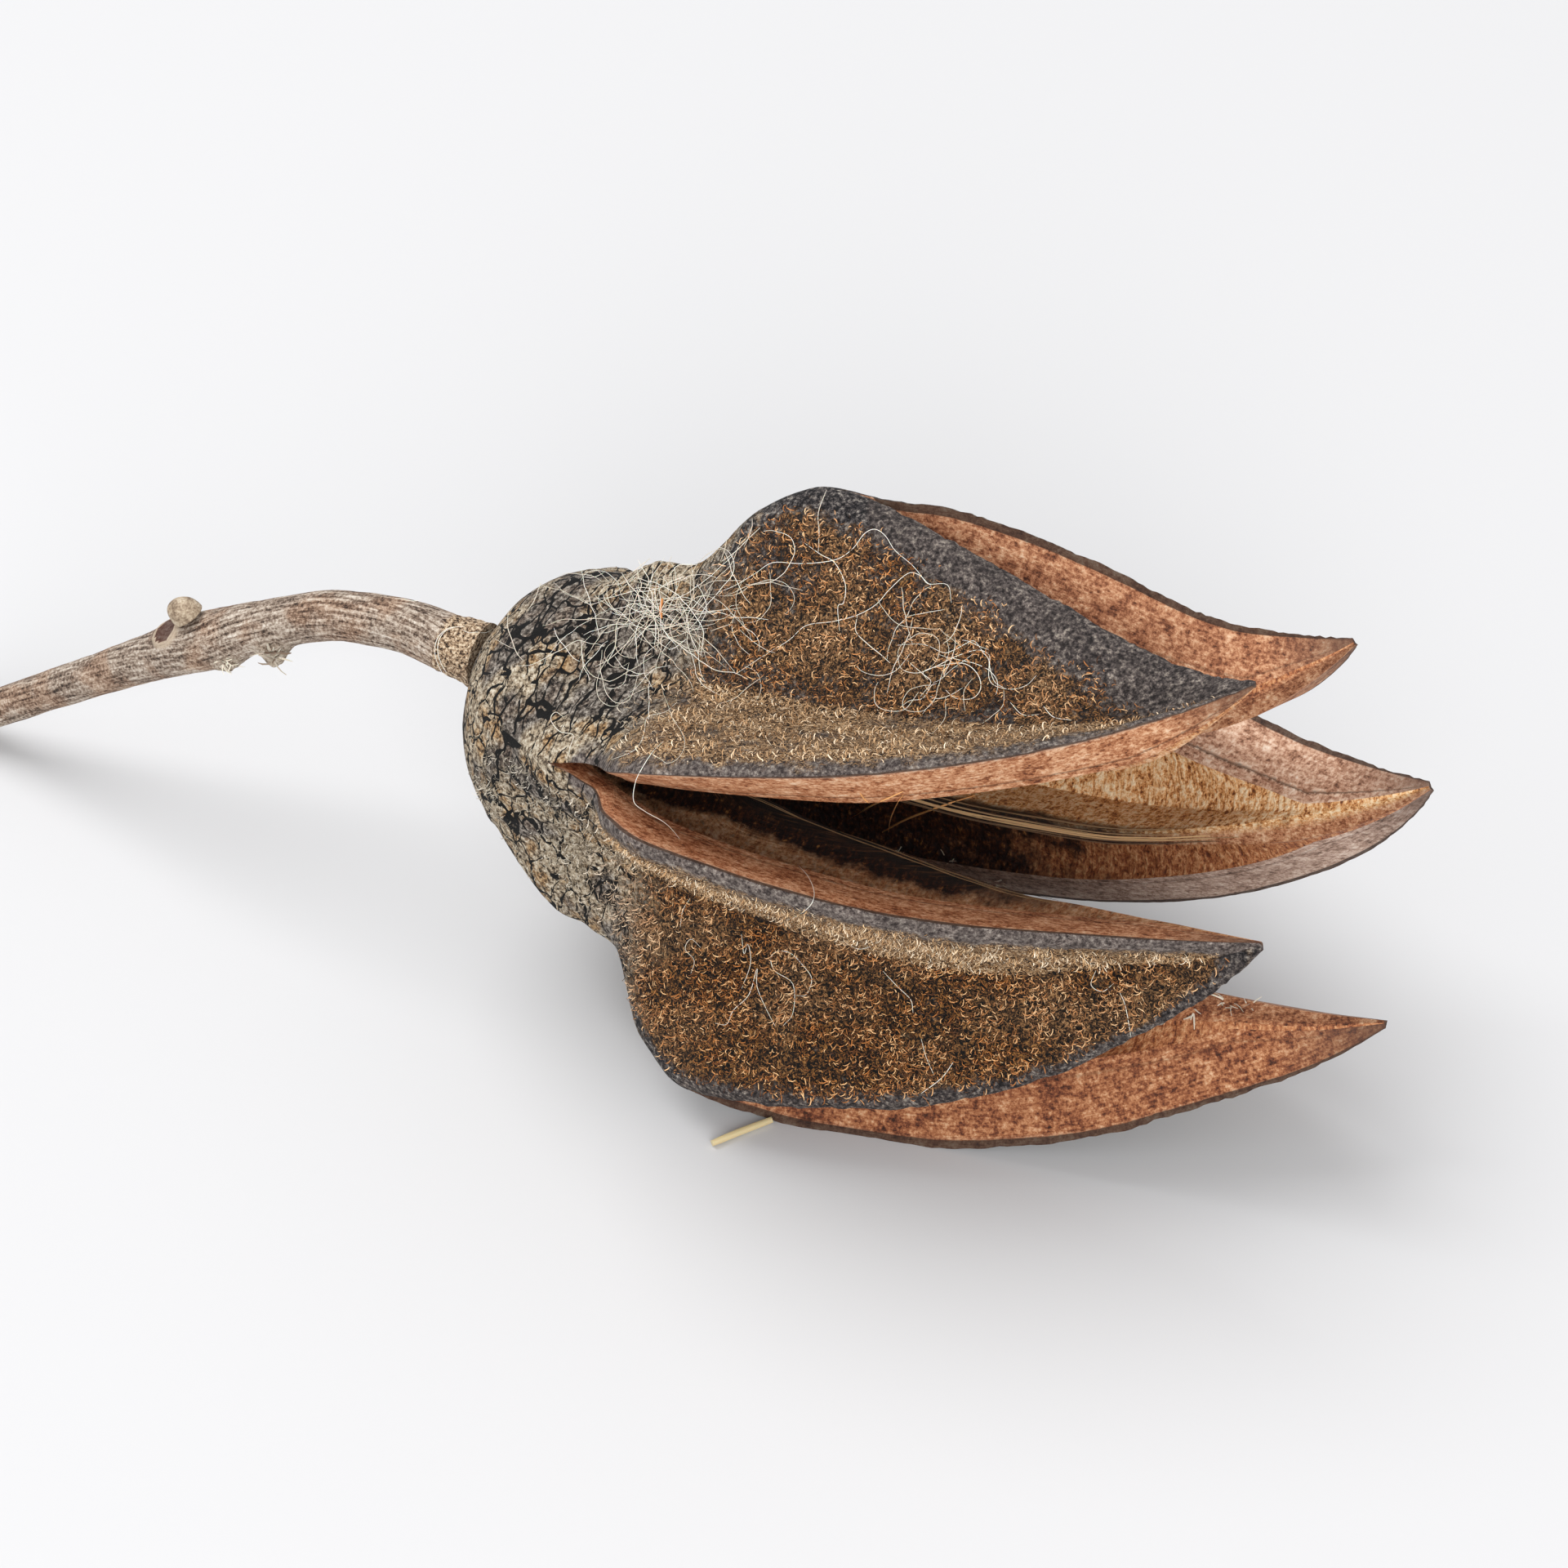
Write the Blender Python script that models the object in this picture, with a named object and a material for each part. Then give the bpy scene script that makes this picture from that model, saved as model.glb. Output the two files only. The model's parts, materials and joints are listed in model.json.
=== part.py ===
"""A dry five-valved seed capsule lying on its side, on a short piece of its stem.

The capsule grew as one piece. Its five ridges have split from the tip towards the base, so that
five boat-shaped valves stand apart and stay joined in the bowl at the stem. Each valve carries,
inside, half of two seed chambers and the partition between them.

Metres, +Z up. The origin is under the middle of the whole thing, on the surface it lies on, and
+X runs from the stem to the tips. It lies on the ridges at both sides of the under valve and on
the cut end of the stem. The shape is worked out with the seat of the stem at the origin and the
front to -Y, then rolled and moved to where it lies.
"""

import math

import bmesh
import bpy
import numpy as np
from mathutils import Euler, Vector

MM = 0.001
LENGTH = 70.0 * MM  # capsule, along its bent centre line
HALF_VALVE = math.radians(36.0)  # from the middle of a valve to its ridge

# centre line: rise in degrees at shares of the length
LINE_SHARES = (0.0, 0.1, 0.2, 0.45, 0.7, 1.0)
LINE_RISE = (-12.8, -14.2, -4.9, -1.9, 10.9, 37.6)

# closed capsule, mm from the centre line at shares of the length
RIDGE_SHARES = (0.0, 0.02, 0.05, 0.1, 0.16, 0.22, 0.28, 0.34, 0.42, 0.55, 0.7, 0.82, 0.92, 1.0)
RIDGE_RADII = (2.8, 6.1, 8.8, 10.9, 13.3, 13.8, 18.6, 20.6, 19.8, 17.3, 12.9, 8.3, 4.3, 0.6)
VALLEY_SHARES = (0.0, 0.02, 0.05, 0.1, 0.2, 0.3, 0.42, 0.55, 0.7, 0.82, 0.92, 1.0)
VALLEY_RADII = (2.8, 6.0, 8.5, 10.2, 9.9, 10.1, 9.8, 9.1, 7.4, 4.7, 2.7, 0.4)
# seed chambers: how far they reach towards the ridge
CHAMBER_SHARES = (0.1, 0.14, 0.22, 0.34, 0.55, 0.7, 0.8, 0.88, 1.0)
CHAMBER_RADII = (4.0, 7.2, 11.2, 14.6, 11.6, 7.2, 4.2, 1.6, 0.3)
CHAMBER_FROM, CHAMBER_FULL = 0.1, 0.18  # shares of the length where the chambers deepen
CHAMBER_FADES, CHAMBER_TO = 0.66, 0.9  # and where they run out before the tip
WALL = 1.7 * MM  # under the valley
PARTITION = 0.9 * MM  # thickness
PARTITION_EDGE = 1.5 * MM  # from the centre line to the partition's free edge
EDGE_OF_VALLEY = 0.35  # and at most this share of the valley's radius
TORN_FROM, TORN_FULL, TORN_OF_VALLEY = 0.2, 0.4, 0.55  # the same where a partition is torn back
LEAST_WALL = 1.8 * MM  # across the split face of a ridge
LEAST_FACE = 0.15  # and at least this share of the way in to the free edge
# how far the section leaves its ends square to them: at the valley, at the ridge, at the chamber's rim
# and at the partition's root
VALLEY_ROUND, RIDGE_ROUND, RIM_ROUND, ROOT_ROUND = 0.22, 0.2, 0.3, 0.25
ROOT_LEAN = np.array([0.45, 0.9])

HINGE = 0.12  # share of the length where the valves begin to bend out

# Going round from the front: the middle of each valve in degrees from the horizontal, then how it
# opened: out, extra at the tip, sideways (mm), turned from its place and rolled (degrees),
# longer along the line (mm), wider than the closed shape (ratio), and its partition torn back (mm).
VALVES = {
    "front_upper": dict(
        middle=54, out=13.5, tip=0.7, side=3.2, turn=4.9, roll=35.6, on=0.0, wide=1.02, torn=3.5,
    ),
    "back_upper": dict(
        middle=126, out=9.1, tip=3.2, side=-0.6, turn=2.8, roll=38.6, on=0.0, wide=0.94, torn=0,
    ),
    "back_lower": dict(
        middle=198, out=7.0, tip=-0.6, side=-1.1, turn=-2.0, roll=-7.1, on=-0.8, wide=1.05, torn=0,
    ),
    "under": dict(
        middle=270, out=10.2, tip=2.2, side=1.3, turn=0.5, roll=-21.6, on=-6.6, wide=1.0, torn=0,
    ),
    "front_lower": dict(
        middle=342, out=5.6, tip=2.6, side=0.1, turn=4.5, roll=-3.2, on=-8.0, wide=1.05, torn=0,
    ),
}
ORDER = list(VALVES)
# the ridge after each valve in ORDER: where it has split back to and over how much of the length it
# comes fully apart, as shares, and the least gap in mm where its two sides lean together
RIDGES = (
    dict(split=0.365, blend=0.12, gap=0.15),
    dict(split=0.3, blend=0.12, gap=0.7),
    dict(split=0.3, blend=0.12, gap=0.15),
    dict(split=0.3, blend=0.12, gap=0.15),
    dict(split=0.155, blend=0.06, gap=0.0),
)

# how it lies: rolled about the seat of the stem, which is then moved to its place over the ground
ROLL = math.radians(-7.7)
SEAT = Vector((-8.82, -0.55, 22.6)) * MM

# Stem, mm from its seat, after the roll: its middle, from the capsule to the cut end
STEM_ROUTE = (
    (-0.45, 0.0, 0.1),
    (-2.9, 0.0, 0.45),
    (-6.5, 0.1, 0.95),
    (-11.3, 0.1, 0.5),
    (-18.5, -0.1, -2.2),
    (-24.6, -0.3, -5.4),
    (-34.3, 0.0, -11.4),
    (-45.3, 0.4, -18.4),
    (-50.3, 0.5, -21.55),
)
STEM_WIDTHS = (
    (-0.45, 5.0), (-1.2, 4.6), (-3.0, 4.3), (-3.9, 4.1), (-6.5, 3.9), (-11.0, 3.65), (-17.0, 3.6),
    (-21.0, 3.9), (-24.6, 4.3), (-27.0, 4.0), (-30.0, 3.5), (-37.0, 3.1), (-50.3, 2.8),
)
# what stands out of the stem: place along X, degrees round from the top to the front, then height
# and half the length and width in mm
STEM_BUMPS = {
    "leaf_scar": dict(at=-26.0, round=22, high=0.45, half_long=1.3, half_wide=1.2),
    "old_stalk": dict(at=-22.4, round=140, high=0.6, half_long=1.2, half_wide=1.0),
    "torn_branch": dict(at=-18.2, round=140, high=1.3, half_long=0.9, half_wide=0.9),
}
# bud: place along X, degrees round the stem, mm above the stem's middle, and its size
BUD_AT, BUD_ROUND, BUD_FOOT = -23.9, 8, 2.55
BUD_LONG, BUD_WIDE, BUD_HIGH = 2.6, 2.3, 1.5

# mesh counts
ACROSS = 10  # outer faces across a valve
FACE_STEPS = 1  # across a split face
CHAMBER_STEPS = 5  # round a chamber wall
PARTITION_STEPS = 1  # down a partition
BASE_STATIONS = (0.0, 0.008, 0.02, 0.035, 0.055, 0.08)
APEX_STATIONS = (0.1, 0.125, 0.155, 0.185, 0.215, 0.245, 0.27, 0.3, 0.333, 0.365)
VALVE_STATIONS = APEX_STATIONS + (0.4, 0.4333) + tuple(np.linspace(0.4667, 1.0, 17))
STEM_SIDES = 16
STEM_STATIONS = np.concatenate(
    [(-0.45, -1.2, -2.2, -3.2, -3.9, -4.8, -6.5, -8.5), np.linspace(-10.5, -50.3, 38)]
)
BUD_SIDES, BUD_RINGS = 14, 5


def curve_through(places, values):
    """A smooth function through the values that never overshoots them."""
    x = np.array(places, float)
    y = np.array(values, float)
    step = np.diff(x)
    rise = np.diff(y) / step
    slope = np.empty_like(y)
    slope[0], slope[-1] = rise[0], rise[-1]
    same_way = rise[:-1] * rise[1:] > 0
    before = np.where(same_way, rise[:-1], 1.0)
    after = np.where(same_way, rise[1:], 1.0)
    slope[1:-1] = np.where(same_way, 2 * before * after / (before + after), 0.0)

    def value(t):
        t = np.asarray(t, float)
        i = np.clip(np.searchsorted(x, t, "right") - 1, 0, len(step) - 1)
        h = step[i]
        q = np.clip((t - x[i]) / h, 0, 1)
        ends = (1 + 2 * q) * (1 - q) ** 2 * y[i] + q * q * (3 - 2 * q) * y[i + 1]
        return ends + q * (1 - q) ** 2 * h * slope[i] + q * q * (q - 1) * h * slope[i + 1]

    return value


def ease(t):
    t = np.clip(t, 0, 1)
    return t * t * (3 - 2 * t)


ridge_radius = curve_through(RIDGE_SHARES, np.array(RIDGE_RADII) * MM)
valley_radius = curve_through(VALLEY_SHARES, np.array(VALLEY_RADII) * MM)
chamber_radius = curve_through(CHAMBER_SHARES, np.array(CHAMBER_RADII) * MM)


def centre_line():
    """Tables of distance, x, z and rise along the centre line, run on a little past the tips."""
    along = np.linspace(0, 1.15 * LENGTH, 162)
    rise = np.radians(curve_through(LINE_SHARES, LINE_RISE)(along / LENGTH))
    ahead, up = np.cos(rise), np.sin(rise)
    step = along[1]
    x = np.concatenate([[0], np.cumsum((ahead[1:] + ahead[:-1]) / 2 * step)])
    z = np.concatenate([[0], np.cumsum((up[1:] + up[:-1]) / 2 * step)])
    return along, x, z, rise


LINE = centre_line()


def line_frame(along):
    """Point of the centre line there, the direction square to it upwards, and the one to the front."""
    x, z, rise = (np.interp(along, LINE[0], values) for values in LINE[1:])
    zero = np.zeros_like(rise)
    return (
        np.stack([x, zero, z], -1),
        np.stack([-np.sin(rise), zero, np.cos(rise)], -1),
        np.stack([zero, zero - 1, zero], -1),
    )


def bent_out(name, share, out, across):
    """A point of a closed valve, out from the centre line and across the valve, where opening put it."""
    valve = VALVES[name]
    grown = np.clip(share / 0.3, 0, 1)
    opened = np.clip((share - HINGE) / (1 - HINGE), 0, 1)
    tip = np.clip((share - 0.72) / 0.28, 0, 1)
    angle = np.radians(valve["middle"] + valve["turn"] * grown)
    roll = np.radians(valve["roll"]) * opened
    wide = 1 + (valve["wide"] - 1) * grown
    valley = valley_radius(share)
    reach, across = out * wide - valley, across * wide
    out = valley + reach * np.cos(roll) - across * np.sin(roll)
    out = out + (valve["out"] * opened**1.1 + valve["tip"] * tip**2) * MM
    across = reach * np.sin(roll) + across * np.cos(roll) + valve["side"] * MM * opened**2
    place, up, front = line_frame(share * LENGTH + valve["on"] * MM * opened**2)
    cos, sin = np.cos(angle)[..., None], np.sin(angle)[..., None]
    return place + out[..., None] * (cos * front + sin * up) + across[..., None] * (cos * up - sin * front)


def valve_point(name, share, out, across):
    """As bent_out, with the ridges held together where they haven't split, and clear of each other
    past that."""
    share, out, across = np.broadcast_arrays(np.asarray(share, float), out, across)
    place = bent_out(name, share, out, across)
    radius = np.hypot(out, across)
    near_ridge = np.clip(np.abs(np.arctan2(across, np.maximum(out, 1e-9))) / HALF_VALVE, 0, 1) ** 2
    ridge_out, ridge_across = radius * math.cos(HALF_VALVE), radius * math.sin(HALF_VALVE)
    _, up, front = line_frame(share * LENGTH)
    turn = ORDER.index(name)
    for side, other, ridge in (
        (1, ORDER[(turn + 1) % 5], RIDGES[turn]),
        (-1, ORDER[turn - 1], RIDGES[turn - 1]),
    ):
        apart = ease((share - ridge["split"]) / ridge["blend"])[..., None]
        mine = bent_out(name, share, ridge_out, side * ridge_across)
        theirs = bent_out(other, share, ridge_out, -side * ridge_across)
        ridge_angle = math.radians(VALVES[name]["middle"]) + side * HALF_VALVE
        towards = side * (math.cos(ridge_angle) * up - math.sin(ridge_angle) * front)
        gap = ((theirs - mine) * towards).sum(-1)[..., None]
        held = (theirs - mine) / 2 * (1 - apart)
        cleared = towards * np.maximum(ridge["gap"] * MM - gap, 0) / 2 * apart
        place = place + (held - cleared) * (near_ridge * (across * side > 0))[..., None]
    return place


def bezier(a, b, c, d, t):
    t = np.asarray(t)[:, None]
    a, b, c, d = (np.array(p) for p in (a, b, c, d))
    return (1 - t) ** 3 * a + 3 * t * (1 - t) ** 2 * b + 3 * t * t * (1 - t) * c + t**3 * d


def half_section(name, share):
    """Half of a closed valve's section at a share of the length, as (out, across) points in metres.

    The first list runs over the outside from the valley to the ridge. The second runs on round the
    inside: down the split face, over the chamber wall and down the partition to its free edge."""
    ridge, valley = float(ridge_radius(share)), float(valley_radius(share))
    along_ridge = np.array([math.cos(HALF_VALVE), math.sin(HALF_VALVE)])
    off_ridge = np.array([math.sin(HALF_VALVE), -math.cos(HALF_VALVE)])
    crest = ridge * along_ridge
    flank = math.hypot(crest[0] - valley, crest[1])
    outside = bezier(
        (valley, 0),
        (valley, VALLEY_ROUND * flank),
        crest + RIDGE_ROUND * flank * off_ridge,
        crest,
        np.linspace(0, 1, ACROSS // 2 + 1),
    )
    depth = float(ease((share - CHAMBER_FROM) / (CHAMBER_FULL - CHAMBER_FROM)))
    depth *= 1 - float(ease((share - CHAMBER_FADES) / (CHAMBER_TO - CHAMBER_FADES)))
    torn = float(ease((share - TORN_FROM) / (TORN_FULL - TORN_FROM))) if VALVES[name]["torn"] else 0.0
    edge_radius = min(
        PARTITION_EDGE + VALVES[name]["torn"] * torn * MM,
        valley * (EDGE_OF_VALLEY + (TORN_OF_VALLEY - EDGE_OF_VALLEY) * torn),
    )
    least = edge_radius + LEAST_FACE * (ridge - edge_radius)
    chamber = max(min(float(chamber_radius(share)), ridge - LEAST_WALL), least)
    rim = chamber * along_ridge
    half_thick = min(PARTITION / 2, 0.3 * edge_radius)
    root = np.array([valley - min(WALL, 0.4 * valley), half_thick])
    reach = math.hypot(*(rim - root))
    wall = bezier(
        rim,
        rim + RIM_ROUND * reach * off_ridge,
        root + ROOT_ROUND * reach * ROOT_LEAN,
        root,
        np.linspace(0, 1, CHAMBER_STEPS + 1),
    )
    free_edge = np.array([edge_radius, half_thick])
    partition = [root + (free_edge - root) * t for t in np.linspace(0, 1, PARTITION_STEPS + 1)[1:]]
    hollow = np.vstack([wall, partition])
    filled_end = edge_radius * along_ridge
    filled = [rim + (filled_end - rim) * t for t in np.linspace(0, 1, len(hollow))]
    inside = np.array(filled) + (hollow - filled) * depth
    face = [crest + (rim - crest) * t for t in np.linspace(0, 1, FACE_STEPS + 1)[1:-1]]
    return outside, np.array(face).reshape(-1, 2), inside


def skin(mesh, row_a, row_b):
    """Two triangles between each pair of neighbours of two equal rows, split the same way all over."""
    for a, b, c, d in zip(row_a, row_a[1:], row_b[1:], row_b):
        mesh.faces.new((a, b, c))
        mesh.faces.new((a, c, d))


def section_rows(mesh, name, share):
    """The vertices of one valve's section: outside, then split face and inside for each ridge."""
    outside, face, inside = half_section(name, share)

    def row(points, side):
        placed = valve_point(name, share, points[:, 0], side * points[:, 1])
        return [mesh.verts.new(p) for p in placed]

    high = row(outside, 1)
    low = row(outside[1:], -1)
    rows = {"outside": low[::-1] + high}
    for side, crest in ((1, high[-1]), (-1, low[-1])):
        middle = row(face, side)
        inner = row(inside, side)
        rows[side] = {"face": [crest, *middle, inner[0]], "inside": inner}
    return rows


def build_capsule():
    mesh = bmesh.new()
    for turn, name in enumerate(ORDER):
        splits = {1: RIDGES[turn]["split"], -1: RIDGES[turn - 1]["split"]}
        base = [section_rows(mesh, name, share)["outside"] for share in BASE_STATIONS]
        sections = [section_rows(mesh, name, share) for share in VALVE_STATIONS]
        base.append(sections[0]["outside"])
        for row_a, row_b in zip(base, base[1:]):
            skin(mesh, row_a, row_b)
        for share, here, there in zip(VALVE_STATIONS, sections, sections[1:]):
            skin(mesh, here["outside"], there["outside"])
            skin(mesh, free_edge(here), free_edge(there))
            for side in (1, -1):
                skin(mesh, here[side]["inside"], there[side]["inside"])
                if share > splits[side] - 1e-6:
                    skin(mesh, here[side]["face"], there[side]["face"])
        tip = sections[-1]
        rim = tip["outside"] + tip[1]["face"][1:] + tip[1]["inside"][1:]
        rim += tip[-1]["inside"][::-1] + tip[-1]["face"][1:-1][::-1]
        mesh.faces.new(rim)
    bmesh.ops.remove_doubles(mesh, verts=mesh.verts, dist=0.005 * MM)
    bmesh.ops.delete(mesh, geom=[v for v in mesh.verts if not v.link_faces], context="VERTS")
    # the seat of the stem and the floor between the chambers
    bmesh.ops.holes_fill(mesh, edges=[e for e in mesh.edges if e.is_boundary], sides=0)
    bmesh.ops.rotate(mesh, cent=(0, 0, 0), matrix=Euler((ROLL, 0, 0)).to_matrix(), verts=mesh.verts)
    return mesh


def free_edge(section):
    """The two vertices at the free edge of a valve's partition."""
    return [section[1]["inside"][-1], section[-1]["inside"][-1]]


def stem_frames(places):
    """Middle of the stem at places along X, in metres, its way towards the tips, and up and front
    square to it."""
    at, y, z = np.array(STEM_ROUTE[::-1]).T
    sides, heights = curve_through(at, y), curve_through(at, z)
    middle = np.stack([places, sides(places), heights(places)], -1) * MM
    nudge = 0.05
    way = np.stack(
        [
            np.full_like(places, 2 * nudge),
            sides(places + nudge) - sides(places - nudge),
            heights(places + nudge) - heights(places - nudge),
        ],
        -1,
    )
    way /= np.linalg.norm(way, axis=1)[:, None]
    front = np.cross(way, (0, 0, 1))
    front /= np.linalg.norm(front, axis=1)[:, None]
    return middle, way, np.cross(front, way), front


def stem_radius(place, angle):
    """Radius in metres at a place along X and degrees round from the top to the front."""
    at, widths = np.array(STEM_WIDTHS[::-1]).T
    radius = curve_through(at, widths / 2)(place)
    for bump in STEM_BUMPS.values():
        along = (place - bump["at"]) / bump["half_long"]
        turned = (angle - bump["round"] + 180) % 360 - 180
        across = math.radians(turned) * radius / bump["half_wide"]
        radius = radius + bump["high"] * np.exp(-(along**2) - across**2)
    return radius * MM


def build_stem():
    mesh = bmesh.new()
    middle, _, up, front = stem_frames(STEM_STATIONS)
    angles = np.arange(STEM_SIDES) * 360 / STEM_SIDES
    rings = []
    for i, place in enumerate(STEM_STATIONS):
        ring = []
        for angle in angles:
            turn = math.radians(angle)
            outwards = math.cos(turn) * up[i] + math.sin(turn) * front[i]
            ring.append(mesh.verts.new(middle[i] + float(stem_radius(place, angle)) * outwards))
        rings.append(ring)
    for ring_a, ring_b in zip(rings, rings[1:]):
        skin(mesh, ring_a + ring_a[:1], ring_b + ring_b[:1])
    mesh.faces.new(rings[0])
    mesh.faces.new(rings[-1])
    return mesh


def build_bud():
    """A blunt dome lying along the stem, on a flat foot."""
    mesh = bmesh.new()
    middle, way, up, front = (v[0] for v in stem_frames(np.array([BUD_AT])))
    turn = math.radians(BUD_ROUND)
    outwards = math.cos(turn) * up + math.sin(turn) * front
    beside = np.cross(way, outwards)
    foot = middle + BUD_FOOT * MM * outwards
    rings = []
    for step in range(BUD_RINGS):
        rise = step / BUD_RINGS * math.pi / 2
        ring = []
        for side in range(BUD_SIDES):
            around = side / BUD_SIDES * 2 * math.pi
            along = BUD_LONG / 2 * math.cos(rise) * math.cos(around) * way
            across = BUD_WIDE / 2 * math.cos(rise) * math.sin(around) * beside
            ring.append(mesh.verts.new(foot + MM * (along + across + BUD_HIGH * math.sin(rise) * outwards)))
        rings.append(ring)
    for ring_a, ring_b in zip(rings, rings[1:]):
        skin(mesh, ring_a + ring_a[:1], ring_b + ring_b[:1])
    top = mesh.verts.new(foot + MM * BUD_HIGH * outwards)
    last = rings[-1]
    for a, b in zip(last, last[1:] + last[:1]):
        mesh.faces.new((a, b, top))
    mesh.faces.new(rings[0])
    return mesh


def lay_down(mesh):
    """Moves the shape to its place and cuts it flat where it meets the ground."""
    bmesh.ops.translate(mesh, verts=mesh.verts, vec=SEAT)
    everything = list(mesh.verts) + list(mesh.edges) + list(mesh.faces)
    bmesh.ops.bisect_plane(
        mesh, geom=everything, dist=1e-7, plane_co=(0, 0, 0), plane_no=(0, 0, 1), clear_inner=True
    )
    bmesh.ops.holes_fill(mesh, edges=[e for e in mesh.edges if e.is_boundary], sides=0)


def material(name, red, green, blue, roughness):
    made = bpy.data.materials.new(name)
    made.use_nodes = True
    shader = made.node_tree.nodes["Principled BSDF"]
    shader.inputs["Base Color"].default_value = (red, green, blue, 1)
    shader.inputs["Roughness"].default_value = roughness
    shader.inputs["Metallic"].default_value = 0.0
    return made


def add_object(name, mesh, look):
    lay_down(mesh)
    bmesh.ops.triangulate(mesh, faces=[f for f in mesh.faces if len(f.verts) > 3])
    bmesh.ops.recalc_face_normals(mesh, faces=mesh.faces)
    data = bpy.data.meshes.new(name)
    mesh.to_mesh(data)
    mesh.free()
    data.materials.append(look)
    data.shade_smooth()
    data.set_sharp_from_angle(angle=math.radians(40))
    made = bpy.data.objects.new(name, data)
    bpy.context.scene.collection.objects.link(made)
    return made


for old in list(bpy.data.objects):
    bpy.data.objects.remove(old)
add_object("capsule", build_capsule(), material("capsule husk", 0.21, 0.16, 0.11, 0.85))
add_object("stem", build_stem(), material("stem bark", 0.24, 0.19, 0.14, 0.9))
add_object("bud", build_bud(), material("bud down", 0.30, 0.27, 0.18, 0.9))
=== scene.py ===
# A dry five-valved seed capsule on a short stem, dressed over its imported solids
import json
import math
from functools import partial

import bmesh
import bpy
import numpy as np
from mathutils import Euler, Matrix, Vector, noise
from mathutils.bvhtree import BVHTree

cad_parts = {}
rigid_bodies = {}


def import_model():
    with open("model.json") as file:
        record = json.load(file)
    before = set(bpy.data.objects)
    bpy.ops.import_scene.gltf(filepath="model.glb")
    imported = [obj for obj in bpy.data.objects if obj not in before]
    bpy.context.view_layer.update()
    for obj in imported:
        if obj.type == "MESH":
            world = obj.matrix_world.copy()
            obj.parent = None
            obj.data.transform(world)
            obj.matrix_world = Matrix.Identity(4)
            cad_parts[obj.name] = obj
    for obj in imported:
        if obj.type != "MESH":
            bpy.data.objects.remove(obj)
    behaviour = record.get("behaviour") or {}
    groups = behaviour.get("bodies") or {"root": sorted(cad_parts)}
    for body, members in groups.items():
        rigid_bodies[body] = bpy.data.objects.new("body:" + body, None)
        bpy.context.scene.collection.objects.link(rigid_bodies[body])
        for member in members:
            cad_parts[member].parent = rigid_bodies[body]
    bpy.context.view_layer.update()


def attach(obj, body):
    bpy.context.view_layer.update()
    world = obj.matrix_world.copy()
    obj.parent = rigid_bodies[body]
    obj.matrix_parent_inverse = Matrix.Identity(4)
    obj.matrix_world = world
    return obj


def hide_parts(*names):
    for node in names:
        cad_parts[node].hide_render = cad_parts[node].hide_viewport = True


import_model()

mm = 0.001
scene = bpy.context.scene
chance = np.random.default_rng(7)


def report(stage):
    print("stage:", stage)


# colours are sRGB hex, the shaders want linear
def colour(code):
    parts = [int(code[i : i + 2], 16) / 255 for i in (1, 3, 5)]
    return tuple(p / 12.92 if p <= 0.04045 else ((p + 0.055) / 1.055) ** 2.4 for p in parts) + (1.0,)


# sets a node's inputs, by name or in their order, to plain values, sockets or other nodes' results
def feed(node, inputs):
    sockets = [s for s in node.inputs if s.enabled]
    named = {s.name: s for s in reversed(sockets)}
    for key, value in inputs.items() if isinstance(inputs, dict) else enumerate(inputs):
        socket = sockets[key] if isinstance(key, int) else named[key]
        if isinstance(value, bpy.types.Node):
            value = next(s for s in value.outputs if s.enabled)
        if isinstance(value, bpy.types.NodeSocket):
            node.id_data.links.new(value, socket)
        else:
            socket.default_value = value


# one node with its settings, inputs and colour stops, shader nodes by their short names. Inputs in
# order are a noise's place, scale, detail and roughness, a range's value, from and to, and a mix's
# share and both ends.
def addNode(tree, kind, inputs=None, stops=(), **settings):
    node = tree.nodes.new(kind if "Node" in kind else "ShaderNode" + kind)
    for key, value in settings.items():
        setattr(node, key, value)
    feed(node, inputs or {})
    for number, (position, code) in enumerate(stops):
        band = node.color_ramp.elements
        stop = band[number] if number < len(band) else band.new(position)
        stop.position, stop.color = position, colour(code)
    return node


# an object in the scene
def newObject(name, data):
    made = bpy.data.objects.new(name, data)
    scene.collection.objects.link(made)
    return made


# what a mesh carries at its corners
def carry(data, numbers):
    for name, values in numbers.items():
        layer = data.attributes.new(name, "FLOAT", "POINT")
        layer.data.foreach_set("value", np.asarray(values, np.float32).ravel())


# a smooth line through the pairs that never overshoots them
def curveThrough(pairs):
    x, y = np.array(pairs, float).T
    step = np.diff(x)
    rise = np.diff(y) / step
    slope = np.empty_like(y)
    slope[0], slope[-1] = rise[0], rise[-1]
    sameWay = rise[:-1] * rise[1:] > 0
    before = np.where(sameWay, rise[:-1], 1.0)
    after = np.where(sameWay, rise[1:], 1.0)
    slope[1:-1] = np.where(sameWay, 2 * before * after / (before + after), 0.0)

    def value(t):
        t = np.asarray(t, float)
        i = np.clip(np.searchsorted(x, t, "right") - 1, 0, len(step) - 1)
        h = step[i]
        q = np.clip((t - x[i]) / h, 0, 1)
        ends = (1 + 2 * q) * (1 - q) ** 2 * y[i] + q * q * (3 - 2 * q) * y[i + 1]
        return ends + q * (1 - q) ** 2 * h * slope[i] + q * q * (q - 1) * h * slope[i + 1]

    return value


def ease(t):
    t = np.clip(t, 0, 1)
    return t * t * (3 - 2 * t)


def easeFrom(t, start, end):
    return ease((t - start) / (end - start))


# parts of any shape, side by side
def stacked(*parts):
    return np.stack(np.broadcast_arrays(*parts), -1)


# noise over rows of points, about -1 to 1
def roughness(points, size=1.0, seed=0.0):
    flat = np.asarray(points, float).reshape(-1, 3) / size + seed
    values = [noise.noise(Vector(p)) for p in flat]
    return np.array(values).reshape(np.asarray(points).shape[:-1])


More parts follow.
